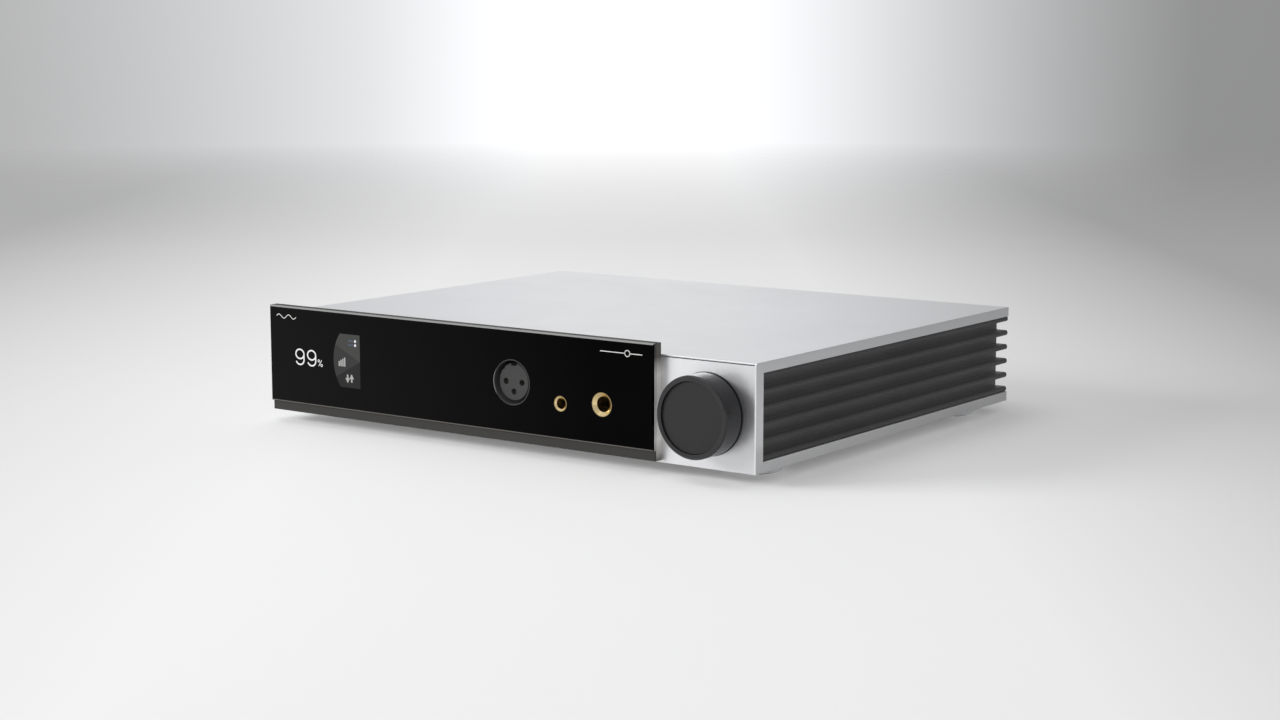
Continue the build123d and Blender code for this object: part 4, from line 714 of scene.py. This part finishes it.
def make_display():
    """The lit figures and the three-part dial. They are laid on the glass at the display's place."""
    low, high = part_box("display_screen")
    glass_low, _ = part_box("front_glass")
    centre = Vector(((low.x + high.x) / 2, glass_low.y, (low.z + high.z) / 2))
    slot = "screen"

    figures = Mark("display_figures", centre)
    draw_nine(figures, -16.8, 0.2)
    draw_nine(figures, -9.6, 0.2)
    draw_percent(figures, -4.4, -2.5)
    figures.done(lit("display_white", (0.93, 0.94, 0.93), 0.95), "case", slot)

    # The dial is a disc cut off at its right, top and bottom, and split by two lines from its hub.
    hub = (19.6, 0.0)
    rim_centre, rim = (23.2, 0.0), 19.4
    half_height = 11.85
    top_turn = 180 - math.degrees(math.asin(half_height / rim))
    upper_split, lower_split = 159.5, 202.5
    upper_rim = arc(rim_centre, (rim, rim), top_turn, upper_split, 6)
    middle_rim = arc(rim_centre, (rim, rim), upper_split, lower_split, 12)
    lower_rim = arc(rim_centre, (rim, rim), lower_split, 360 - top_turn, 6)
    wedges = (
        ("dial_top", [hub, (hub[0], half_height), *upper_rim], (0.060, 0.060, 0.058)),
        ("dial_middle", [hub, *middle_rim], (0.040, 0.040, 0.040)),
        ("dial_bottom", [hub, *lower_rim, (hub[0], -half_height)], (0.022, 0.021, 0.022)),
    )
    for name, corners, shade in wedges:
        wedge = Mark(name, centre, proud=0.03)
        wedge.prism(corners)
        wedge.done(lit(name, shade, 1.0), "case", slot)

    icons = Mark("dial_icons", centre, proud=0.05)
    for n in range(4):
        foot = 7.2 + 1.1 * n
        icons.stroke([(foot, -2.7), (foot, -0.5 + 0.6 * n)], 0.72)
    for way in (-1, 1):
        icons.arrow((13.3 + way * 1.2, -7.8), way, 0.85, 1.7, head=(1.35, -0.1, 1.99))
    icons.done(lit("dial_icon_white", (0.50, 0.50, 0.49), 0.9), "case", slot)

    dots = Mark("dial_dots", centre, proud=0.05)
    bars = Mark("dial_bars", centre, proud=0.05)
    for z in (9.0, 7.2):
        bars.stroke([(12.8, z), (15.6, z)], 0.5)
        dots.dot((16.9, z), 0.6)
    dots.done(lit("dial_dot_white", (0.85, 0.88, 0.95), 0.95), "case", slot)
    bars.done(lit("dial_bar_blue", (0.10, 0.14, 0.20), 0.9), "case", slot)


def make_panel_marks():
    """Plain marks near the panel's upper corners: a short wave and a slider."""
    glass_low, glass_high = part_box("front_glass")
    ink = printed("panel_ink", (0.62, 0.62, 0.60))
    stroke = 0.36

    wave = Mark("panel_wave_mark", (glass_low.x + 10.6 * MM, glass_low.y, glass_high.z - 4.6 * MM))
    length, height, steps = 12, 0.85, 36
    path = []
    for n in range(steps + 1):
        path.append((length * (n / steps - 0.5), height * math.sin(4 * math.pi * n / steps)))
    wave.stroke(path, stroke)
    wave.done(ink, "case", "white_plastic")

    slider = Mark("panel_slider_mark", (glass_high.x - 16.0 * MM, glass_low.y, glass_high.z - 5.0 * MM))
    slider.stroke([(-10.5, 0), (1.8, 0)], stroke)
    slider.stroke([(4.4, 0), (10.5, 0)], stroke)
    slider.stroke(ring((3.1, 0), (1.25, 1.25)), stroke, closed=True)
    slider.done(ink, "case", "white_plastic")


def make_rear_marks():
    """Plain printing over the rear sockets: an arrow down for each input, and a bracket with an arrow
    up over the pair of line outputs."""
    _, panel_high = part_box("rear_panel")
    printing = Mark("rear_printing", (0, panel_high.y, 0), right=LEFT)
    stroke = 0.4
    phono_low, phono_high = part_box("phono_shells")
    flange, pitch = 6.0, 15.0

    input_head = (0.9, 0.5, 1.9)
    for name in ("usb_socket", "optical_socket"):
        low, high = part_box(name)
        middle = -(low.x + high.x) / 2 / MM
        printing.arrow((middle, high.z / MM + 4.5), -1, stroke, 1.4, input_head)
    coaxial = -phono_low.x / MM - flange
    printing.arrow((coaxial, phono_high.z / MM + 4.5), -1, stroke, 1.4, input_head)

    left = flange - phono_high.x / MM
    right = left + pitch
    foot = phono_high.z / MM + 3.0
    printing.stroke([(left, foot), (left, foot + 1.5), (right, foot + 1.5), (right, foot)], stroke)
    printing.arrow(((left + right) / 2, foot + 3.9), 1, stroke, 1.3, (0.9, 0.5, 2.0))
    printing.done(printed("rear_ink", (0.55, 0.55, 0.53)), "case", "white_plastic")


def make_rocker_marks():
    """A bar on the rocker's upper face and a ring on its lower one. The two faces slope up from a
    valley level with the pivot, and the rocker rests tipped in at its lower end."""
    hinge = next(j for j in frame["record"]["behaviour"]["joints"] if j["name"] == "power_switch")
    pivot = Vector(hinge["pos_m"])
    ink = printed("rocker_ink", (0.60, 0.60, 0.58))
    stroke = 0.5
    tilt = math.radians(-10)
    slope = math.atan2(1.5, 9.0)
    valley = pivot + Vector((0, math.cos(tilt), math.sin(tilt))) * 3.1 * MM
    reach = 4.2 * MM
    for name, half in (("rocker_bar_mark", 1), ("rocker_ring_mark", -1)):
        lean = tilt - half * slope
        up = Vector((0, -math.sin(lean), math.cos(lean)))
        mark = Mark(name, valley + up * half * reach, right=LEFT, up=up)
        if half > 0:
            mark.stroke([(0, -1.3), (0, 1.3)], stroke)
        else:
            mark.stroke(ring((0, 0), (1.15, 1.15)), stroke, closed=True)
        mark.done(ink, "rocker", "white_plastic")


make_camera()
make_lights()
make_world()
make_floor()
bpy.context.scene.view_settings.view_transform = "Standard"
paint_nodes()
make_display()
make_panel_marks()
make_rear_marks()
make_rocker_marks()
